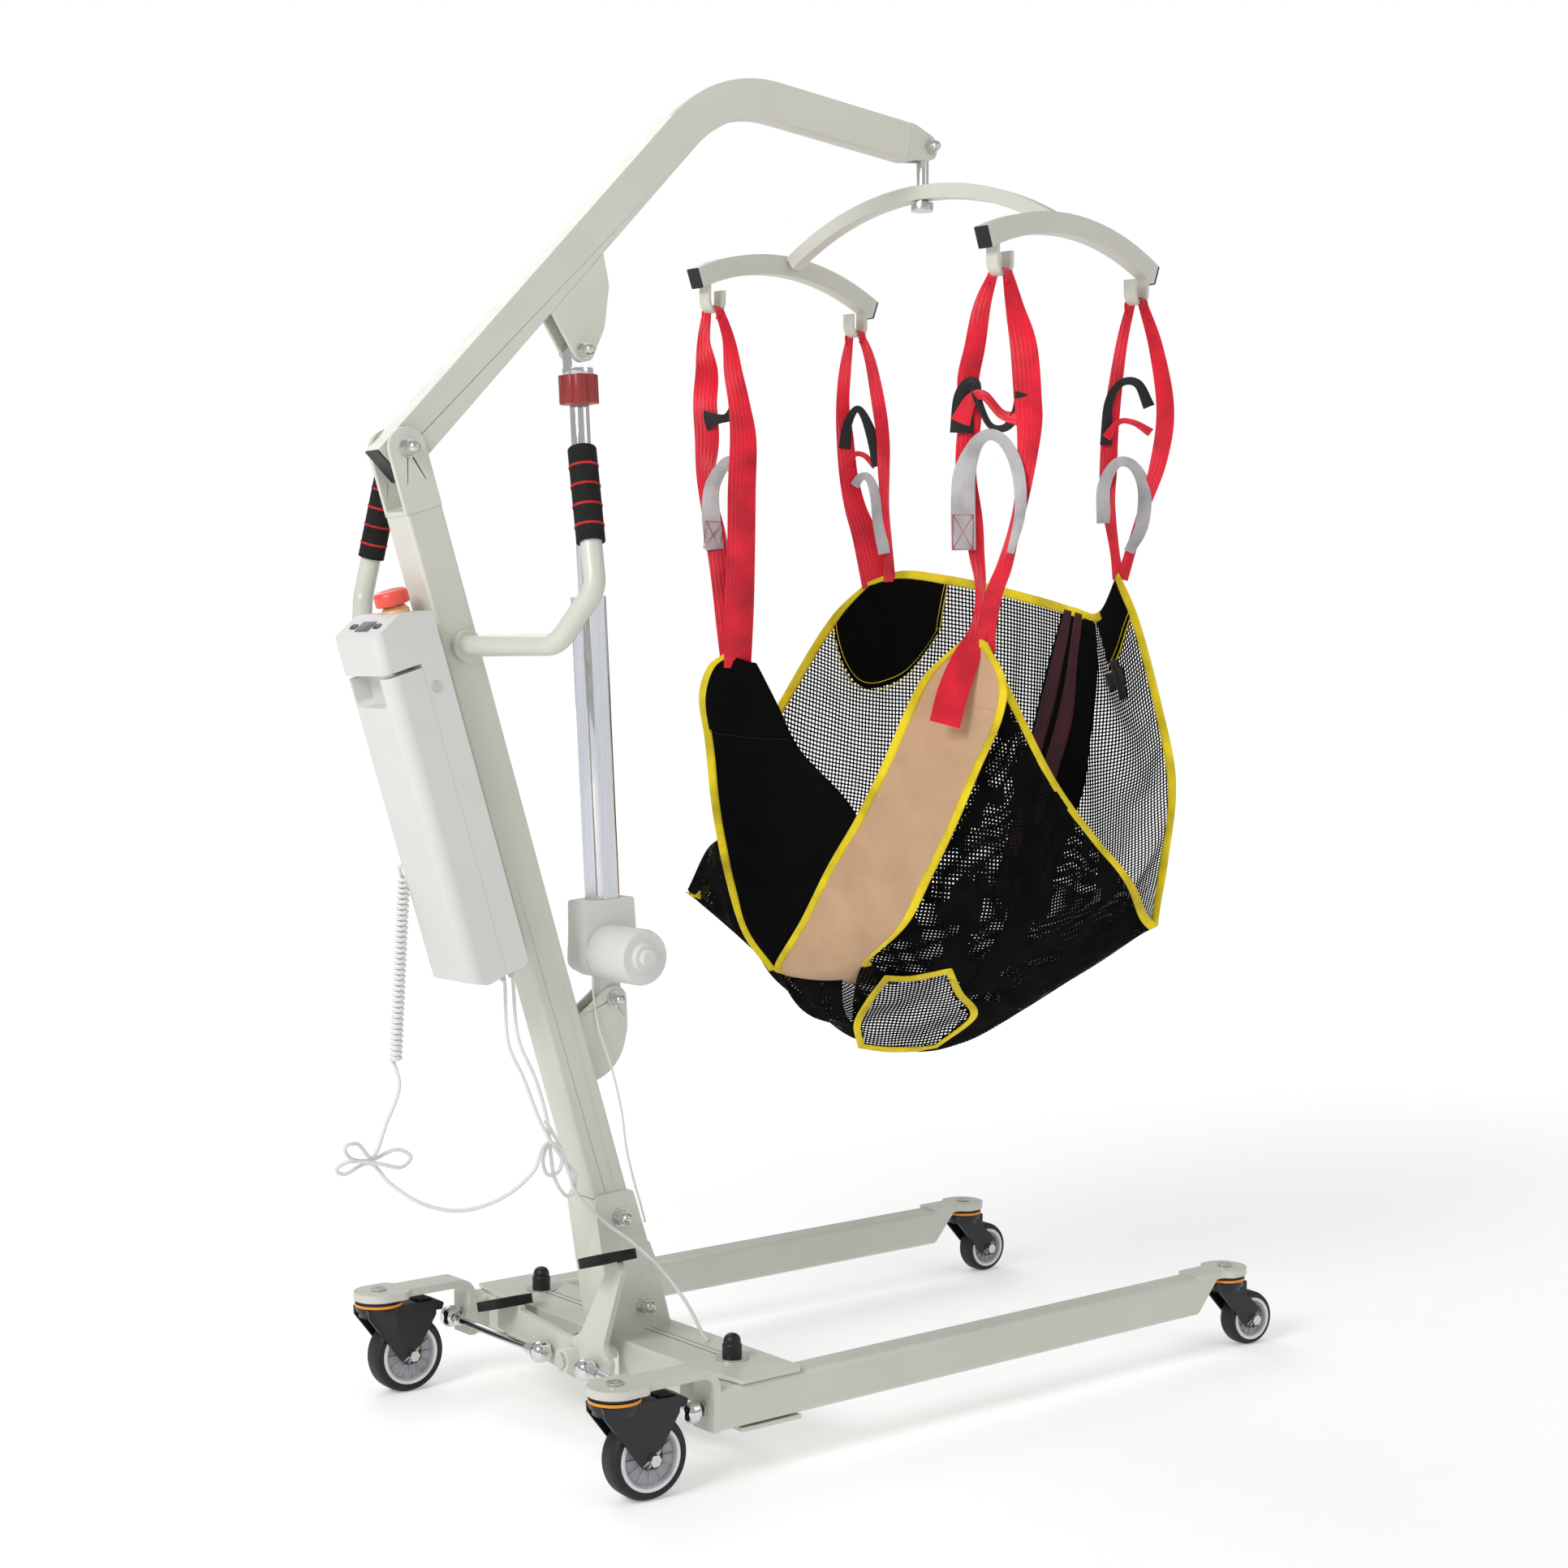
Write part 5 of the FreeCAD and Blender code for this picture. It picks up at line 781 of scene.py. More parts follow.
def tape(name, sheet, side, material, wide=12.0, cloth=1.0, span=(0.0, 1.0)):
    """Binding tape folded over a stretch of a cloth edge, lying on both faces of the cloth."""
    whole = sheet.across if side in ("top", "bottom") else sheet.down
    begin, end = round(span[0] * whole), round(span[1] * whole)
    last = end - begin
    rise = (cloth / 2 + TAPE_RISE) * MM
    verts, faces, uvs = [], [], []
    run = 0.0
    before = None
    for number in range(begin, end + 1):
        path = inward_path(sheet, side, number, wide * MM)
        out = (path[0][0] - path[1][0]).normalized()
        if before is not None:
            run += (path[0][0] - before).length
        before = path[0][0]
        ring = [(p - n * rise, i) for i, (p, n) in enumerate(path)]
        ring[-1] = (path[-1][0] - path[-1][1] * rise * 0.8, TAPE_STEPS)
        upper = [(p + n * rise, i) for i, (p, n) in enumerate(path)]
        upper[-1] = (path[-1][0] + path[-1][1] * rise * 0.8, TAPE_STEPS)
        nose = [(path[0][0] + out * (1.4 * MM) + path[0][1] * rise * 0.5, -0.5),
                (path[0][0] + out * (1.4 * MM) - path[0][1] * rise * 0.5, -0.5)]
        loop = list(reversed(upper)) + nose + ring
        for place, across in loop:
            verts.append(place)
            uvs.append((across * wide * MM / TAPE_STEPS, run))
        count = len(loop)
    for k in range(last):
        for s in range(count):
            n = (s + 1) % count
            faces.append((k * count + s, k * count + n, (k + 1) * count + n, (k + 1) * count + s))
    faces.append(tuple(reversed(range(count))))
    faces.append(tuple(range(last * count, (last + 1) * count)))
    obj = finish_mesh(name, verts, faces, material, None, True, uvs)
    tidy_mesh(obj)
    return hang(obj)


def laid(name, sheet, shape, across, down, material, thick=2.6):
    """A flat piece sewn to a sheet, proud of both its faces; shape turns (s, t) into the sheet's (u, v)."""
    verts, uvs = [], []
    for j in range(down + 1):
        for i in range(across + 1):
            place, _ = sheet.sample(*shape(i / across, j / down))
            verts.append(place)
    w = across + 1
    for j in range(down + 1):
        for i in range(across + 1):
            along = sum((verts[j * w + n] - verts[j * w + n - 1]).length for n in range(1, i + 1))
            away = sum((verts[n * w + i] - verts[(n - 1) * w + i]).length for n in range(1, j + 1))
            uvs.append((along, away))
    faces = [(j * w + i, j * w + i + 1, (j + 1) * w + i + 1,
              (j + 1) * w + i) for j in range(down) for i in range(across)]
    obj = finish_mesh(name, verts, faces, material, None, True, uvs)
    solid = obj.modifiers.new("thick", "SOLIDIFY")
    solid.thickness = thick * MM
    solid.offset = 0.0
    return hang(obj)


def stitching(name, sheet, shape, count, material, long=2.6, wide=0.9, tall=4.0):
    """A row of thread dashes along a line on a sheet, showing on both faces; shape turns t into (u, v)."""
    verts, faces = [], []
    for number in range(count):
        t = (number + 0.5) / count
        place, normal = sheet.sample(*shape(t))
        ahead = sheet.sample(*shape(min(1.0, t + 0.01)))[0] - sheet.sample(*shape(max(0.0, t - 0.01)))[0]
        ahead.normalize()
        side = ahead.cross(normal).normalized()
        base = len(verts)
        for z in (-tall / 2, tall / 2):
            for x, y in ((-long / 2, -wide / 2), (long / 2, -wide / 2), (long / 2, wide / 2),
                         (-long / 2, wide / 2)):
                verts.append(place + ahead * (x * MM) + side * (y * MM) + normal * (z * MM))
        for quad in ((0, 3, 2, 1), (4, 5, 6, 7), (0, 1, 5, 4), (1, 2, 6, 5), (2, 3, 7, 6), (3, 0, 4, 7)):
            faces.append(tuple(base + q for q in quad))
    obj = finish_mesh(name, verts, faces, material, None, False)
    tidy_mesh(obj)
    return hang(obj)


def ribbon(name, points, widths, facing, material, thick=1.8, steps=10, twist=None, soft=1.0):
    """Flat webbing on a smooth curve in the spreader's frame; facing is the side it shows."""
    count = (len(points) - 1) * steps
    verts, faces, uvs = [], [], []
    centres = [in_spreader(catmull(points, k / count)) for k in range(count + 1)]
    wide = [catmull([(w, 0, 0) for w in widths], k / count).x for k in range(count + 1)]
    turns = [catmull([(t, 0, 0) for t in (twist or [0.0] * len(points))],
                     k / count).x for k in range(count + 1)]
    show = (SPREADER.to_3x3() @ Vector(facing)).normalized()
    run = 0.0
    for k, centre in enumerate(centres):
        ahead = (centres[min(k + 1, count)] - centres[max(k - 1, 0)]).normalized()
        across = ahead.cross(show).normalized()
        across = Matrix.Rotation(math.radians(turns[k]), 3, ahead) @ across
        out = across.cross(ahead).normalized()
        if k:
            run += (centre - centres[k - 1]).length
        half = wide[k] / 2
        bow = soft * 0.06 * wide[k]
        for x, y in ((-half, -0.5), (-half * 0.5, -0.5 + bow * 0.25), (0, -0.5 + bow * 0.35),
                     (half * 0.5, -0.5 + bow * 0.25),
                     (half, -0.5), (half, 0.5), (half * 0.5, 0.5 + bow * 0.25), (0, 0.5 + bow * 0.35),
                     (-half * 0.5, 0.5 + bow * 0.25), (-half, 0.5)):
            verts.append(centre + across * (x * MM) + out * (y * thick * MM))
            uvs.append((x * MM, run))
    ring = 10
    for k in range(count):
        for s in range(ring):
            n = (s + 1) % ring
            faces.append((k * ring + s, k * ring + n, (k + 1) * ring + n, (k + 1) * ring + s))
    faces.append(tuple(reversed(range(ring))))
    faces.append(tuple(range(count * ring, (count + 1) * ring)))
    obj = finish_mesh(name, verts, faces, material, None, True, uvs)
    tidy_mesh(obj)
    sharpen(obj, 50)
    return hang(obj)


BACK = [
    [(150, 217, 1083), (170, 165, 1099), (195, 100, 1091), (215, 44, 1079), (225, -47, 1057),
     (215, -113, 1041),
     (190, -171, 1034), (150, -228, 1086)],
    [(128, 268, 1030), (160, 205, 1020), (205, 120, 1010), (235, 44, 1000), (238, -47, 985),
     (225, -130, 975),
     (200, -200, 985), (164, -252, 1022)],
    [(80, 308, 930), (150, 235, 900), (210, 140, 890), (245, 44, 880), (248, -47, 870), (232, -150, 865),
     (215, -225, 880), (184, -276, 910)],
    [(0, 328, 803), (100, 250, 770), (185, 150, 755), (235, 44, 750), (242, -47, 745), (235, -150, 745),
     (225, -230, 770), (198, -293, 800)],
    [(-70, 322, 690), (40, 245, 650), (135, 150, 625), (195, 44, 620), (212, -47, 620), (215, -140, 640),
     (215, -220, 670), (194, -284, 690)],
    [(-125, 300, 632), (-20, 235, 575), (70, 150, 520), (130, 44, 510), (150, -47, 520), (160, -130, 550),
     (180, -205, 590), (190, -276, 630)],
    [(-140, 313, 632), (-100, 225, 566), (-60, 100, 462), (-25, 30, 425), (25, -40, 427), (65, -110, 468),
     (125, -180, 540), (188, -273, 600)],
]

NEAR_PANEL = [
    [(-140, -210, 985), (-145, -218, 987), (-150, -226, 988)],
    [(-140, -230, 925), (-136, -250, 922), (-128, -253, 918)],
    [(-160, -208, 815), (-112, -260, 808), (-55, -264, 815)],
    [(-186, -168, 735), (-90, -267, 725), (20, -272, 742)],
    [(-190, -109, 640), (-67, -241, 640), (105, -281, 672)],
    [(-172, -34, 544), (-20, -155, 545), (160, -272, 620)],
    [(-95, 40, 445), (20, -55, 432), (186, -273, 602)],
]

FAR_PANEL = [
    [(-121, 327, 634), (-118, 285, 700), (-160, 200, 705), (-172, 100, 640), (-165, 0, 552)],
    [(-122, 322, 629), (-140, 235, 610), (-158, 160, 560), (-155, 90, 512), (-140, 10, 480)],
    [(-123, 317, 625), (-112, 236, 572), (-95, 165, 516), (-60, 85, 444), (-30, 20, 424)],
]

FAR_PAD = [
    [(-155, 222, 975), (-153, 195, 966), (-155, 166, 961)],
    [(-161, 250, 955), (-156, 195, 945), (-158, 145, 935)],
    [(-171, 257, 912), (-166, 185, 905), (-168, 112, 900)],
    [(-181, 236, 850), (-184, 150, 845), (-182, 60, 842)],
    [(-195, 209, 759), (-199, 90, 762), (-190, -42, 762)],
    [(-201, 178, 666), (-202, 80, 676), (-190, -34, 694)],
    [(-196, 150, 590), (-198, 92, 600), (-186, 26, 628)],
    [(-190, 106, 540), (-190, 92, 545), (-184, 76, 566)],
]

NEAR_PAD = [
    [(-155, -190, 989), (-153, -207, 992), (-151, -224, 989)],
    [(-165, -139, 945), (-158, -200, 948), (-153, -258, 940)],
    [(-181, -117, 892), (-172, -190, 895), (-160, -258, 892)],
    [(-196, -95, 829), (-192, -165, 830), (-173, -233, 825)],
    [(-206, -58, 756), (-208, -130, 758), (-189, -205, 748)],
    [(-211, -15, 691), (-216, -95, 688), (-196, -176, 688)],
    [(-206, 36, 615), (-212, -50, 612), (-194, -136, 624)],
    [(-194, 92, 551), (-198, 10, 560), (-186, -70, 574)],
    [(-176, 97, 538), (-174, 16, 548), (-168, -56, 560)],
    [(-130, 85, 528), (-118, 12, 526), (-112, -55, 530)],
]

OPENING = [
    [(-167, -77, 546), (-138, -94, 544), (-115, -115, 549), (-98, -134, 555)],
    [(-153, -32, 505), (-114, -58, 506), (-78, -87, 510), (-62, -124, 520)],
    [(-134, 2, 470), (-96, -21, 468), (-50, -61, 471), (-13, -113, 481)],
    [(-103, 20, 434), (-73, -4, 428), (-32, -18, 425), (-8, -42, 430)],
]


SEAT_LINE = (0.663, 0.735, -0.14)


def window_through(rows):
    """A test for places that lie behind or before a sheet's outline, along the seat's own line."""
    flat = Vector(SEAT_LINE).normalized()
    side = flat.cross(Vector((0, 0, 1))).normalized()
    above = side.cross(flat)
    right = [row[-1] for row in rows[1:]]
    left = [row[0] for row in rows[-2:0:-1]]
    rim = list(rows[0]) + right + list(reversed(rows[-1]))[1:] + left
    centre = sum((Vector(p) for p in rim), Vector()) / len(rim)
    rim = [in_spreader(centre + (Vector(p) - centre) * 0.94) for p in rim]
    outline = [(p.dot(side), p.dot(above)) for p in rim]

    def inside(point):
        x, z = point.dot(side), point.dot(above)
        found = False
        for (x1, z1), (x2, z2) in zip(outline, outline[1:] + outline[:1]):
            if (z1 > z) != (z2 > z) and x < (x2 - x1) * (z - z1) / (z2 - z1) + x1:
                found = not found
        return found

    return inside


PATCH_LINE = [(0.16, 0, 0), (0.215, 0, 0), (0.262, 0, 0), (0.29, 0, 0), (0.283, 0, 0), (0.25, 0, 0),
              (0.16, 0, 0)]
PATCH_WIDE = 0.288
BAND_SLANT = 0.30


def band_shape(first, last, v_low, v_high):
    """A strip of the back that runs down and leans toward the far side."""
    def shape(s, t):
        v = v_low + (v_high - v_low) * t
        return first + (last - first) * s - BAND_SLANT * v, v
    return shape


def back_extras(back):
    """Head patch, corner patch, the dark red webbing band with its fold, a small tab and their stitching."""
    def patch_edge(s):
        return catmull(PATCH_LINE, s).x

    def head(s, t):
        return PATCH_WIDE * s, patch_edge(s) * t

    def corner(s, t):
        return 1.0 - 0.17 * s, (0.13 + 0.08 * s) * t

    laid("sling_head_patch", back, head, 40, 24, M["mesh_solid"])
    laid("sling_corner_patch", back, corner, 16, 16, M["mesh_solid"])
    laid("sling_band_backing", back, band_shape(0.660, 0.765, 0.01, 0.64), 8, 48, M["mesh_solid"], 2.0)
    laid("sling_band_red_a", back, band_shape(0.668, 0.704, 0.012, 0.64), 4, 48, M["band_red"], 3.4)
    laid("sling_band_red_b", back, band_shape(0.720, 0.756, 0.012, 0.64), 4, 48, M["band_red"], 3.4)
    laid("sling_band_fold", back, band_shape(0.765, 0.822, 0.0, 0.66), 8, 48, M["mesh_solid"], 3.0)
    laid("sling_tab_across", back, lambda s, t: (0.80 + 0.085 * s, 0.215 + 0.035 * t), 6, 4,
         M["strap_black"], 4.2)
    laid("sling_tab_down", back, lambda s, t: (0.845 + 0.030 * s, 0.19 + 0.085 * t), 4, 8,
         M["strap_black"], 4.2)
    for row, drop in enumerate((0.006, -0.010)):
        stitching("sling_head_stitch_%d" % row, back, lambda t,
                  d=drop: (PATCH_WIDE * t, patch_edge(t) + d), 90,
                  M["binding"])
        stitching("sling_head_side_%d" % row, back, lambda t,
                  d=drop: (PATCH_WIDE + 0.6 * d, 0.01 + 0.15 * t), 24,
                  M["binding"])
        stitching("sling_corner_stitch_%d" % row, back, lambda t,
                  d=drop: (1.0 - 0.17 * t, 0.13 + 0.08 * t + d), 34,
                  M["binding"])


def panel_extras(near, far_pad, near_pad):
    """Fold tape and pleat on the near panel, seams across the two leg pads."""
    laid("sling_fold_tape", near, lambda s, t: (0.98 - 0.60 * t, 0.37 + 0.17 * t * t + 0.055 * s), 4, 30,
         M["mesh_solid"], 3.0)
    laid("sling_pleat", near, lambda s, t: (0.50 - 0.12 * t + 0.10 * s, 0.26 + 0.60 * t), 6, 40,
         M["mesh_solid"], 2.2)
    laid("far_pad_lining", far_pad, lambda s, t: (0.04 + 0.94 * s, 0.03 + 0.36 * t), 20, 30,
         M["mesh_solid"], 4.2)
    stitching("far_pad_seam", far_pad, lambda t: (0.05 + 0.92 * t, 0.395), 34, M["strap_black"], 2.6, 0.9,
              5.2)
    stitching("near_pad_seam", near_pad, lambda t: (0.06 + 0.88 * t, 0.185 + 0.02 * t), 30, M["beige"],
              2.4, 0.7, 3.6)


def sling():
    """The cloth: a high back, near and far panels, two leg pads and a bound opening at the seat."""
    back = Sheet("sling_back", BACK, 96, 96, 4.0, 1.6, 0.7)
    near = Sheet("sling_near_panel", NEAR_PANEL, 48, 96, 2.0, 0.9, 2.1)
    far = Sheet("sling_far_panel", FAR_PANEL, 60, 30, 4.0, 1.6, 4.0)
    far_pad = Sheet("sling_far_pad", FAR_PAD, 32, 72, 3.0, 0.8, 1.0)
    near_pad = Sheet("sling_near_pad", NEAR_PAD, 32, 84, 2.5, 0.7, 3.0)
    opening = Sheet("sling_opening", OPENING, 40, 28, 2.0, 1.0, 5.0)
    back.drape(16, 0.02)
    near.drape(16, 0.015)
    near_pad.drape(12, 0.012)
    far_pad.drape(12, 0.012)

    window = window_through(OPENING)

    lead = back.build(M["mesh"], 1.0, None, window)
    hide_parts("sling_body")
    near.build(M["mesh_fine"], 1.0, None, window)
    far.build(M["mesh_fine"], 1.0, None, window)
    far_pad.build(M["mesh_solid"], 2.4)
    near_pad.build(M["beige"], 2.4)
    opening.build(M["mesh"], 1.0)
    back_extras(back)
    panel_extras(near, far_pad, near_pad)
    for sheet_made, sides in ((back, ("top", "left", "right")), (near, ("right",)), (far_pad, ("left",)),
                              (near_pad, ("top", "left", "right")),
                              (opening, ("top", "left", "right", "bottom"))):
        for side in sides:
            tape("%s_binding_%s" % (sheet_made.name, side), sheet_made, side, M["binding"],
                 9.0 if sheet_made is opening else 12.0, 2.4 if sheet_made in (far_pad, near_pad) else 1.0,
                 (0.0, 0.86) if sheet_made is back and side == "top" else (0.0, 1.0))


LOOK = (-0.75, -0.66, 0.0)
STRAPS = {
    "rear_left": dict(hook=(-157, 248), strands=[
        ([(-160, 256, 1453), (-160, 262, 1411), (-159, 257, 1368), (-159, 260, 1325), (-158, 257, 1274),
          (-158, 260, 1223),
          (-157, 253, 1183), (-157, 240, 1135), (-156, 231, 1077), (-152, 223, 1010), (-144, 218, 954)],
         [12, 20, 32, 34, 34, 28, 26, 30, 28, 30, 34], [0, 25, -10, 10, 0, 30, 20, 10, 0, 0, 0]),
        ([(-152, 240, 1455), (-153, 221, 1412), (-153, 212, 1365), (-154, 200, 1321), (-154, 192, 1270),
          (-160, 189, 1202),
          (-163, 187, 1130), (-160, 193, 1040), (-149, 206, 954)],
         [12, 18, 26, 30, 37, 39, 39, 41, 38], [0, -20, 10, 0, 0, 0, 0, 0, 0])]),
    "front_left": dict(hook=(157, 248), strands=[
        ([(157, 258, 1453), (156, 266, 1406), (155, 270, 1352), (154, 264, 1298), (153, 256, 1243),
          (152, 242, 1196),
          (153, 224, 1153), (160, 205, 1079)],
         [10, 18, 20, 26, 28, 32, 38, 46], [0, 20, -10, 10, 0, 0, 0, 0]),
        ([(160, 240, 1455), (159, 221, 1415), (158, 205, 1356), (157, 194, 1301), (155, 190, 1248),
          (154, 187, 1194),
          (156, 183, 1144), (162, 183, 1084)],
         [10, 16, 20, 20, 18, 14, 14, 18], [0, 20, 10, -15, 20, 30, 30, 10])]),
    "rear_right": dict(hook=(-157, -248), strands=[
        ([(-160, -240, 1454), (-159, -222, 1415), (-158, -210, 1364), (-157, -199, 1322),
          (-156, -203, 1282),
          (-155, -197, 1240), (-155, -196, 1200), (-154, -207, 1144), (-153, -212, 1100),
          (-152, -217, 1067),
          (-152, -216, 1034), (-153, -214, 1000), (-166, -205, 965), (-182, -198, 925), (-195, -194, 882)],
         [12, 22, 27, 28, 28, 29, 26, 24, 20, 15, 14, 24, 36, 40, 40],
         [0, 15, -10, 0, 10, 0, 0, 0, 0, 20, 40, 10, 0, 0, 0]),
        ([(-154, -257, 1456), (-154, -269, 1411), (-153, -283, 1358), (-153, -290, 1293),
          (-152, -292, 1260),
          (-152, -288, 1212), (-152, -280, 1164), (-151, -268, 1125), (-151, -254, 1083),
          (-150, -238, 1050),
          (-146, -224, 1005), (-143, -220, 975)],
         [12, 24, 34, 35, 32, 24, 18, 16, 20, 22, 24, 26], [0, -15, 10, 0, 0, 10, 25, 25, 10, 0, 0, 0])]),
    "front_right": dict(hook=(157, -248), strands=[
        ([(157, -240, 1455), (157, -224, 1393), (156, -210, 1294), (155, -207, 1230), (154, -208, 1183),
          (152, -221, 1115),
          (157, -224, 1078)],
         [12, 16, 22, 24, 20, 14, 16], [0, 20, 0, 10, 30, 40, 10]),
        ([(157, -257, 1455), (157, -281, 1388), (156, -297, 1305), (154, -288, 1234), (154, -260, 1158),
          (157, -230, 1078)],
         [12, 20, 24, 22, 14, 16], [0, -10, 0, 15, 35, 10])]),
}

LOOPS = {
    "rear_left": [("black", [(-160, 262, 1300), (-158, 240, 1302), (-156, 222, 1303), (-155, 205, 1310)],
                   [34, 16, 12, 26]),
                  ("grey", [(-162, 238, 1120), (-163, 244, 1165), (-163, 243, 1205), (-162, 226, 1232),
                            (-160, 210, 1240),
                            (-158, 203, 1215)], [26, 26, 22, 18, 16, 14])],
    "front_left": [("black", [(150, 262, 1285), (148, 255, 1320), (148, 238, 1342), (148, 222, 1330),
                              (150, 205, 1290),
                              (152, 200, 1255)], [18, 14, 10, 12, 18, 16]),
                   ("red", [(150, 254, 1262), (148, 240, 1275), (149, 222, 1272), (151, 203, 1255)],
                    [12, 8, 8, 10]),
                   ("grey", [(148, 240, 1228), (147, 228, 1240), (147, 212, 1238), (148, 200, 1212),
                             (149, 194, 1170),
                             (150, 184, 1125)], [14, 12, 12, 16, 18, 18])],
    "rear_right": [("black", [(-166, -196, 1255), (-167, -200, 1300), (-167, -215, 1316),
                              (-166, -224, 1290),
                              (-164, -240, 1262), (-162, -262, 1258), (-160, -278, 1275),
                              (-158, -286, 1300)],
                    [30, 26, 18, 10, 8, 10, 14, 20]),
                   ("red", [(-168, -195, 1268), (-168, -212, 1296), (-167, -232, 1300), (-165, -258, 1275),
                            (-162, -282, 1268)],
                    [26, 16, 12, 12, 18]),
                   ("grey", [(-170, -204, 1105), (-171, -203, 1165), (-170, -205, 1205),
                             (-169, -222, 1240), (-168, -245, 1250),
                             (-166, -268, 1235), (-164, -284, 1200), (-162, -286, 1150),
                             (-160, -270, 1100)],
                     [31, 31, 28, 18, 14, 15, 16, 14, 9])],
    "front_right": [("black", [(148, -207, 1262), (147, -212, 1320), (147, -232, 1345), (148, -258, 1342),
                               (150, -275, 1310)],
                     [16, 12, 10, 12, 16]),
                    ("red", [(148, -206, 1270), (147, -228, 1292), (148, -252, 1290), (150, -278, 1275)],
                     [14, 8, 8, 12]),
                    ("grey", [(147, -206, 1155), (146, -206, 1205), (146, -226, 1236), (147, -252, 1232),
                              (148, -270, 1200),
                              (149, -266, 1150), (150, -245, 1115)], [20, 18, 14, 14, 18, 18, 14])],
}



def strap_loop(name, hook):
    """The sewn loop that lies in the hook: a narrow webbing arch over the strip."""
    x, y = hook
    toward = -1 if x > 0 else 1
    arch = [(x, y + 13, 1440), (x, y + 14, 1452), (x, y + 9, 1458.5), (x, y, 1459.5), (x, y - 9, 1458.5),
            (x, y - 14, 1452),
            (x, y - 13, 1440)]
    ribbon(name, arch, [13] * len(arch), (toward, 0, 0), M["strap_red"], 1.8, 6, [90] * len(arch), 0.0)


def stitched_box(name, centre, along, wide, tall, facing):
    """A sewn rectangle with a cross in it, raised a hair off the webbing."""
    middle = Vector(centre)
    up = Vector(along).normalized()
    show = Vector(facing).normalized()
    side = up.cross(show).normalized()
    lift = show * 1.6
    corners = [middle + side * (sx * wide / 2) + up * (sz * tall / 2) + lift for sx, sz in
               ((-1, -1), (1, -1), (1, 1), (-1, 1))]
    lines = [(0, 1), (1, 2), (2, 3), (3, 0), (0, 2), (1, 3)]
    for number, (a, b) in enumerate(lines):
        ends = [in_spreader(corners[a]), in_spreader(corners[b])]
        stitch = tube("%s_%d" % (name, number), ends, 0.0005, M["stitch"], None, 6, 4)
        hang(stitch)


def straps():
    """Doubled red straps from each hook with black, red and grey step loops."""
    first = None
    for key, data in STRAPS.items():
        for number, (points, widths, twist) in enumerate(data["strands"]):
            made = ribbon("strap_%s_%d" % (key, number), points, widths, LOOK, M["strap_red"], 2.0, 10,
                          twist)
            if first is None:
                first = made
        strap_loop("strap_hook_%s" % key, data["hook"])
        for colour, points, widths in LOOPS[key]:
            ribbon("strap_%s_loop_%s" % (key, colour), points, widths, LOOK, M["strap_" + colour], 1.8, 8)
    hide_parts("sling_straps")
    stitched_box("stitch_rear_right", (-171, -203, 1128), (0, 0, 1), 26, 44, LOOK)
    stitched_box("stitch_rear_left", (-163, 240, 1140), (0, -0.1, 1), 24, 38, LOOK)


# ---------------------------------------------------------------- cables

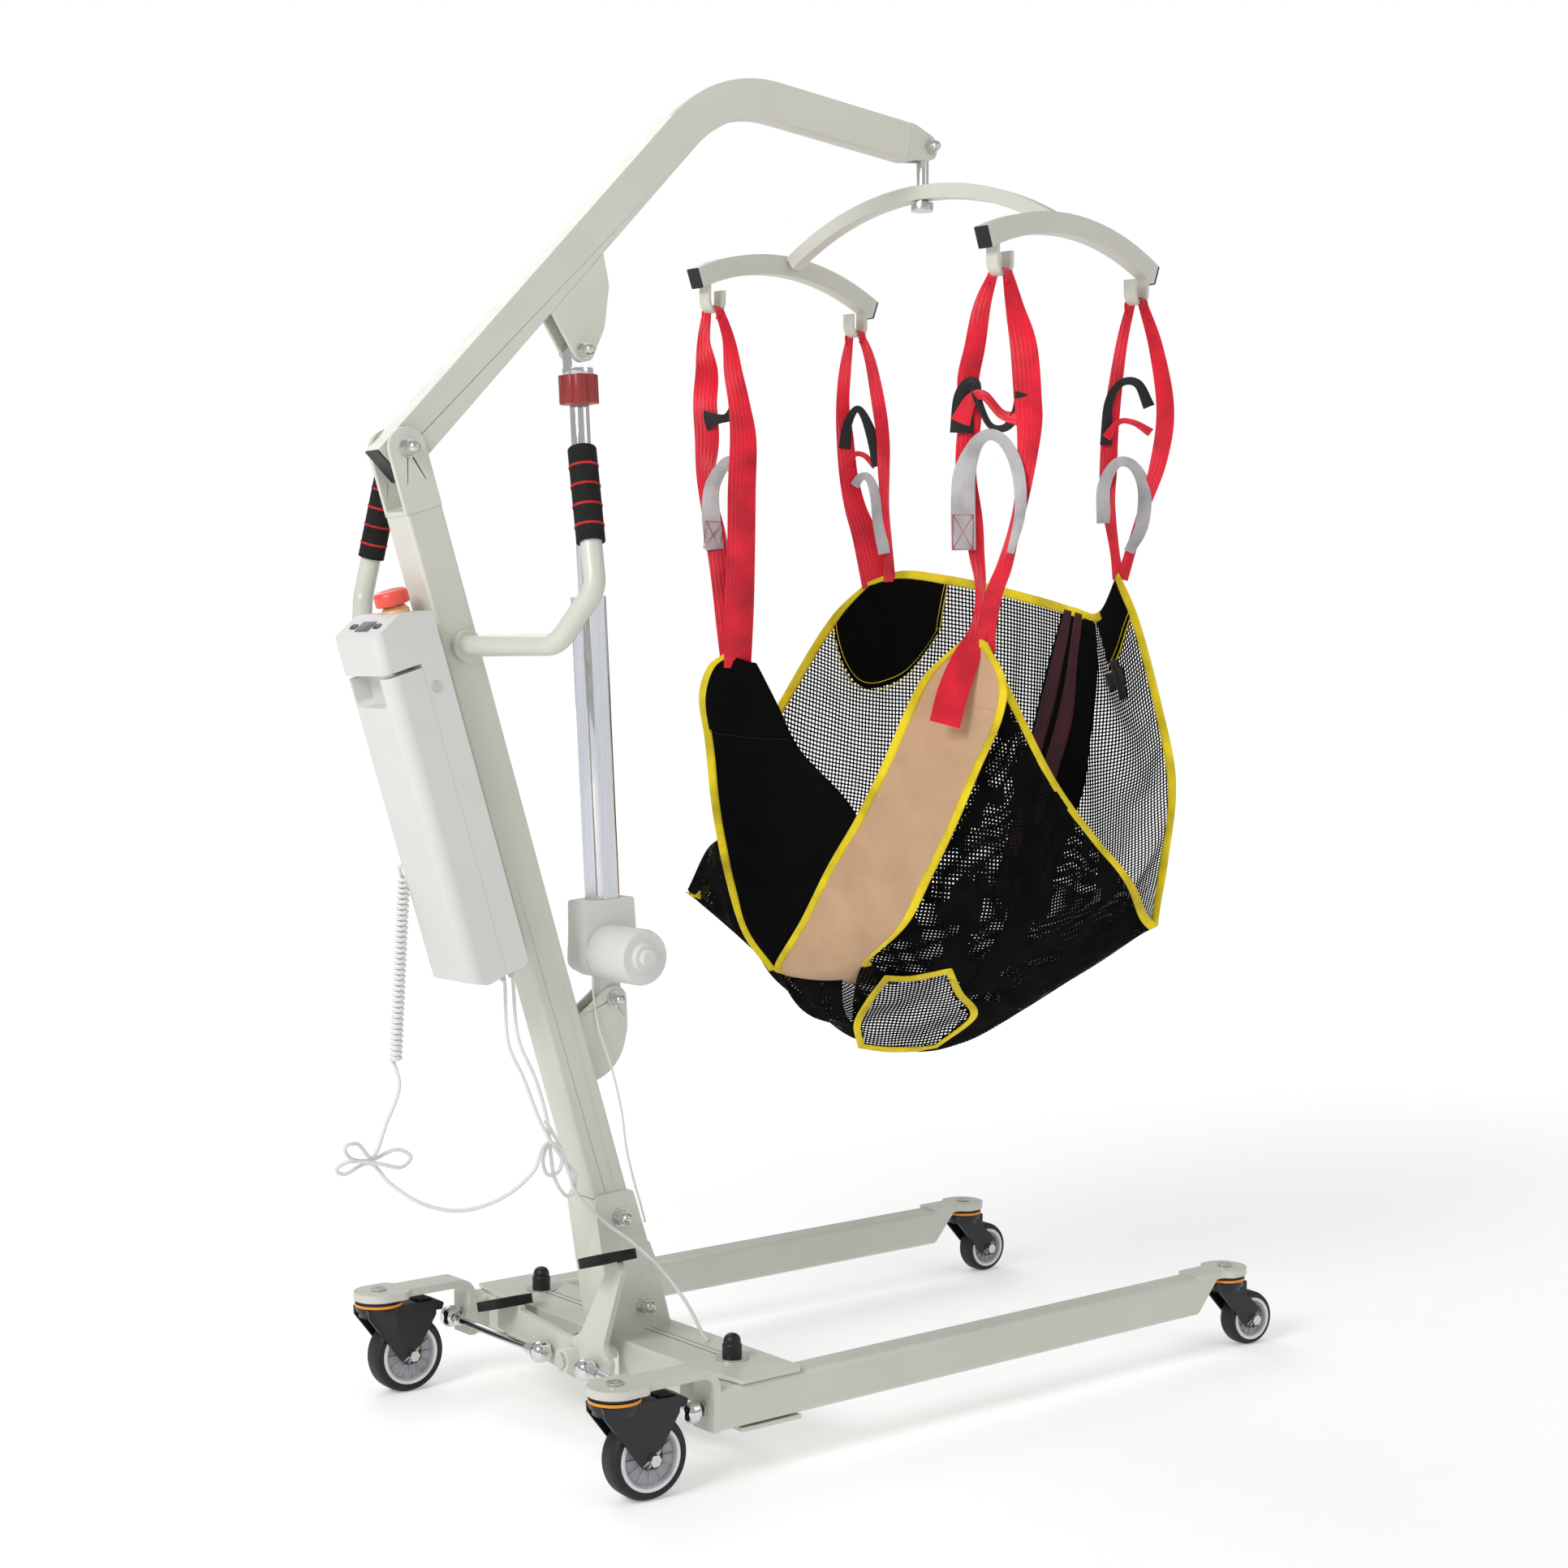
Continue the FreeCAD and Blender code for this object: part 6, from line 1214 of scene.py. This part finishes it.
def cables():
    """Coiled cord and its knotted lead, two cables from the box, and the motor's lead."""
    top, low = Vector((-0.311, 0.045, 0.700)), Vector((-0.323, 0.045, 0.478))
    turns, per_turn = 34, 12
    axis = low - top
    level = Vector((0, 1, 0))
    beside = axis.normalized().cross(level)
    shift = Vector((0.006, 0, 0))
    coil_radius = 0.0058
    points = []
    for step in range(turns * per_turn + 1):
        a = 2 * math.pi * step / per_turn
        along = top + axis * (step / (turns * per_turn))
        points.append(along + shift + level * (coil_radius * math.cos(a)) + beside * (coil_radius * math.sin(a)))
    coil = tube("cord_coil", points, 0.0022, M["cable"], "chassis", 8, 2)
    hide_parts("coiled_cord")
    lead = [points[-1], Vector((-0.312, 0.045, 0.451)), Vector((-0.318, 0.045, 0.428)),
            Vector((-0.331, 0.043, 0.405)),
            Vector((-0.351, 0.040, 0.366)), Vector((-0.375, 0.034, 0.386)), Vector((-0.392, 0.034, 0.384)),
            Vector((-0.380, 0.040, 0.368)), Vector((-0.350, 0.046, 0.362)), Vector((-0.320, 0.040, 0.372)),
            Vector((-0.303, 0.034, 0.362)), Vector((-0.320, 0.030, 0.352)), Vector((-0.350, 0.034, 0.360)),
            Vector((-0.380, 0.044, 0.364)), Vector((-0.396, 0.048, 0.356)), Vector((-0.384, 0.048, 0.349)),
            Vector((-0.352, 0.046, 0.358)), Vector((-0.330, 0.034, 0.332)), Vector((-0.300, 0.010, 0.308)),
            Vector((-0.258, -0.010, 0.298)), Vector((-0.214, -0.030, 0.311)),
            Vector((-0.180, -0.045, 0.340)),
            Vector((-0.168, -0.046, 0.366)), Vector((-0.158, -0.044, 0.374))]
    tube("cord_lead", lead, 0.0023, M["cable"], "chassis", 8, 10)
    top_coil = [points[0], points[0] + Vector((-0.001, -0.004, 0.012)), on_mast(600, 85, 22)]
    tube("cord_top", top_coil, 0.0024, M["cable"], "chassis", 8, 8)
    box_low = 512
    first = [on_mast(box_low, 64, -20), on_mast(box_low - 14, 63, -21), Vector((-0.203, -0.026, 0.500)),
             Vector((-0.186, -0.034, 0.455)), Vector((-0.168, -0.040, 0.405)),
             Vector((-0.150, -0.042, 0.372)),
             Vector((-0.136, -0.042, 0.352)), Vector((-0.140, -0.042, 0.336)),
             Vector((-0.156, -0.042, 0.334)),
             Vector((-0.163, -0.042, 0.352)), Vector((-0.154, -0.042, 0.371)),
             Vector((-0.138, -0.042, 0.364)),
             Vector((-0.124, -0.042, 0.330)), Vector((-0.112, -0.042, 0.303)),
             Vector((-0.070, -0.044, 0.262)),
             Vector((-0.044, -0.062, 0.238)), Vector((-0.018, -0.086, 0.206)),
             Vector((0.004, -0.110, 0.165)),
             Vector((0.016, -0.128, 0.128)), Vector((0.020, -0.134, 0.119))]
    cable = tube("cable_to_base", first, 0.0023, M["cable"], "chassis", 8, 10)
    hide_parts("power_cables")
    second = [on_mast(box_low, 52, -20), on_mast(box_low - 14, 51, -21), Vector((-0.190, -0.028, 0.505)),
              Vector((-0.170, -0.036, 0.452)), Vector((-0.156, -0.040, 0.402)),
              Vector((-0.150, -0.040, 0.356)),
              Vector((-0.144, -0.040, 0.326)), Vector((-0.128, -0.040, 0.304)),
              Vector((-0.116, -0.040, 0.310)),
              Vector((-0.114, -0.040, 0.330)), Vector((-0.128, -0.040, 0.345)),
              Vector((-0.140, -0.040, 0.372)),
              Vector((-0.158, -0.040, 0.400))]
    tube("cable_loop", second, 0.0023, M["cable"], "chassis", 8, 10)
    for number, back in enumerate((64, 52)):
        place = axes_place(on_mast(box_low - 13, back, -20), UP_MAST)
        lathe("gland_%d" % number, [(0, 0), (2.6, 0), (3.4, 1), (3.4, 11), (5.2, 12), (5.2, 15), (0, 15)],
              place,
              M["box_shade"], "chassis", 24)
    motor_lead = [Vector((-0.066, -0.012, 0.578)), Vector((-0.070, -0.014, 0.552)),
                  Vector((-0.066, -0.020, 0.505)),
                  Vector((-0.052, -0.028, 0.455)), Vector((-0.038, -0.030, 0.400)),
                  Vector((-0.030, -0.030, 0.350)),
                  Vector((-0.020, -0.031, 0.310)), Vector((-0.010, -0.031, 0.280)),
                  Vector((0.000, -0.029, 0.252))]
    tube("motor_lead", motor_lead, 0.0014, M["cable"], "chassis", 8, 8)


# ---------------------------------------------------------------- small hardware

GRIP_TOP = (-0.226, 0.218, 1.196)
GRIP_LOW = (-0.238, 0.262, 1.040)
FIRST_GRIP_RING = 0.019
GRIP_RING_STEP = 0.0235
GRIP_RING = [(15.5, -1.6), (17.1, -1.3), (17.3, 0), (17.1, 1.3), (15.5, 1.6)]


def grip_rings():
    """Four red bands let into each foam grip."""
    for side, name in ((1, "left"), (-1, "right")):
        top, low = (Vector((x, side * y, z)) for x, y, z in (GRIP_TOP, GRIP_LOW))
        heading = (top - low).normalized()
        for number in range(4):
            centre = top - heading * (FIRST_GRIP_RING + GRIP_RING_STEP * number)
            place = axes_place(centre, heading)
            lathe("grip_ring_%s_%d" % (name, number), GRIP_RING, place, M["foam_red"], "chassis", 40)


def caster_details():
    """White rim rings, ribbed hubs and orange seals for the four casters."""
    for end in ("front", "rear"):
        for side in ("left", "right"):
            key = "%s_%s" % (end, side)
            roll = JOINTS["caster_%s_roll" % key]
            centre, axis = Vector(roll["pos_m"]), Vector(roll["axis"]).normalized()
            tyre = 50.0 if end == "rear" else 37.5
            half = 16.5 if end == "rear" else 14.5
            for face in (1, -1):
                place = axes_place(centre, axis * face, Vector((0, 0, 1)))
                rim = tyre * 0.76
                ring = [(rim - 3.4, half - 3), (rim - 2.8, half - 0.2), (rim + 0.8, half + 0.3),
                        (rim + 1.2, half - 1.0),
                        (rim + 1.2, half - 3)]
                tag = "a" if face == 1 else "b"
                lathe("rim_ring_%s_%s" % (key, tag), ring, place, M["ring"], "wheel_" + key, 64)
                for spoke in range(12):
                    turn = place @ Matrix.Rotation(math.radians(30 * spoke), 4, "Z")
                    span = rim - 6 - 13
                    at = turn @ Matrix.Translation(Vector(((13 + span / 2) * MM, 0, (half - 4.4) * MM)))
                    rounded_box("hub_rib_%s_%s_%d" % (key, tag, spoke), (span, 1.6, 3.0), at, M["hub"],
                                "wheel_" + key, 0.4, 1)
            swivel = JOINTS["caster_%s_swivel" % key]
            x, y = swivel["pos_m"][0], swivel["pos_m"][1]
            seat = 128.0 if end == "rear" else 105.0
            head = 29.0 if end == "rear" else 27.0
            top = seat - 0.4 - 8
            place = Matrix.Translation(Vector((x, y, 0)))
            lathe("seal_orange_%s" % key, [(head - 3, top + 0.3), (head + 2.0, top + 0.3),
                                           (head + 2.2, top + 2.0),
                                           (head + 2.0, top + 3.8),
                                           (head - 3, top + 3.8)], place, M["orange"],
                  "fork_" + key, 64)


# ---------------------------------------------------------------- stage

def area_light(name, place, size, power, aim):
    data = bpy.data.lights.new(name, "AREA")
    data.shape = "DISK"
    data.size = size
    data.energy = power
    obj = bpy.data.objects.new(name, data)
    obj.location = place
    obj.rotation_euler = (Vector(aim) - Vector(place)).to_track_quat("-Z", "Y").to_euler()
    bpy.context.scene.collection.objects.link(obj)


WORLD_LIGHT = 0.46
WORLD_SEEN = 1.0
FLOOR_GLOW_NEAR = 0.31
FLOOR_GLOW_FAR = 0.66
FLOOR_BOUNCE = 0.6


def stage():
    """Plain pale floor, soft studio light and the camera."""
    floor_mat = coated("studio_floor", (0.93, 0.93, 0.93), 0.7, 60.0, 0.00005, 0.01)
    tree = floor_mat.node_tree
    glow = tree.nodes["Principled BSDF"]
    glow.inputs["Emission Color"].default_value = (1, 1, 1, 1)
    coords = tree.nodes.new("ShaderNodeTexCoord")
    away = tree.nodes.new("ShaderNodeVectorMath")
    away.operation = "LENGTH"
    fade = tree.nodes.new("ShaderNodeMapRange")
    fade.interpolation_type = "SMOOTHSTEP"
    for socket, value in (("From Min", 0.9), ("From Max", 5.5), ("To Min", FLOOR_GLOW_NEAR),
                          ("To Max", FLOOR_GLOW_FAR)):
        fade.inputs[socket].default_value = value
    tree.links.new(coords.outputs["Object"], away.inputs[0])
    tree.links.new(away.outputs["Value"], fade.inputs["Value"])
    path = tree.nodes.new("ShaderNodeLightPath")
    seen = tree.nodes.new("ShaderNodeMapRange")
    seen.inputs["To Min"].default_value = FLOOR_BOUNCE
    seen.inputs["To Max"].default_value = 1.0
    tree.links.new(path.outputs["Is Camera Ray"], seen.inputs["Value"])
    lit = tree.nodes.new("ShaderNodeMath")
    lit.operation = "MULTIPLY"
    tree.links.new(fade.outputs["Result"], lit.inputs[0])
    tree.links.new(seen.outputs["Result"], lit.inputs[1])
    tree.links.new(lit.outputs["Value"], glow.inputs["Emission Strength"])
    half = 60.0
    floor = finish_mesh("studio_floor", [(-half, -half, 0), (half, -half, 0), (half, half, 0),
                                         (-half, half, 0)],
                        [(0, 1, 2, 3)], floor_mat, None, False)
    world = bpy.data.worlds.new("studio")
    bpy.context.scene.world = world
    world.use_nodes = True
    tree = world.node_tree
    background = tree.nodes["Background"]
    background.inputs["Color"].default_value = (1.0, 1.0, 1.0, 1)
    path = tree.nodes.new("ShaderNodeLightPath")
    strength = tree.nodes.new("ShaderNodeMapRange")
    strength.inputs["To Min"].default_value = WORLD_LIGHT
    strength.inputs["To Max"].default_value = WORLD_SEEN
    tree.links.new(path.outputs["Is Camera Ray"], strength.inputs["Value"])
    tree.links.new(strength.outputs["Result"], background.inputs["Strength"])
    aim = (0.2, 0, 0.8)
    area_light("key", (-3.6, -0.9, 3.0), 1.8, 92, aim)
    area_light("fill", (1.8, -3.4, 2.6), 2.4, 12, aim)
    area_light("rim", (0.8, 3.0, 3.2), 2.4, 26, aim)
    bpy.context.scene.view_settings.view_transform = "Standard"
    camera = bpy.data.cameras.new("camera")
    camera.sensor_width = 36
    camera.lens = 55.45
    obj = bpy.data.objects.new("camera", camera)
    yaw, pitch, roll = math.radians(39.12), math.radians(-2.57), math.radians(0.24)
    obj.location = (-1.7787, -2.4913, 0.9438)
    obj.rotation_euler = (Matrix.Rotation(-yaw, 3, "Z") @ Matrix.Rotation(math.pi / 2 + pitch, 3, "X")
                          @ Matrix.Rotation(roll, 3, "Z")).to_euler()
    bpy.context.scene.collection.objects.link(obj)
    bpy.context.scene.camera = obj


dress_cad()
dress_mixed()
sling()
straps()
cables()
grip_rings()
caster_details()
stage()
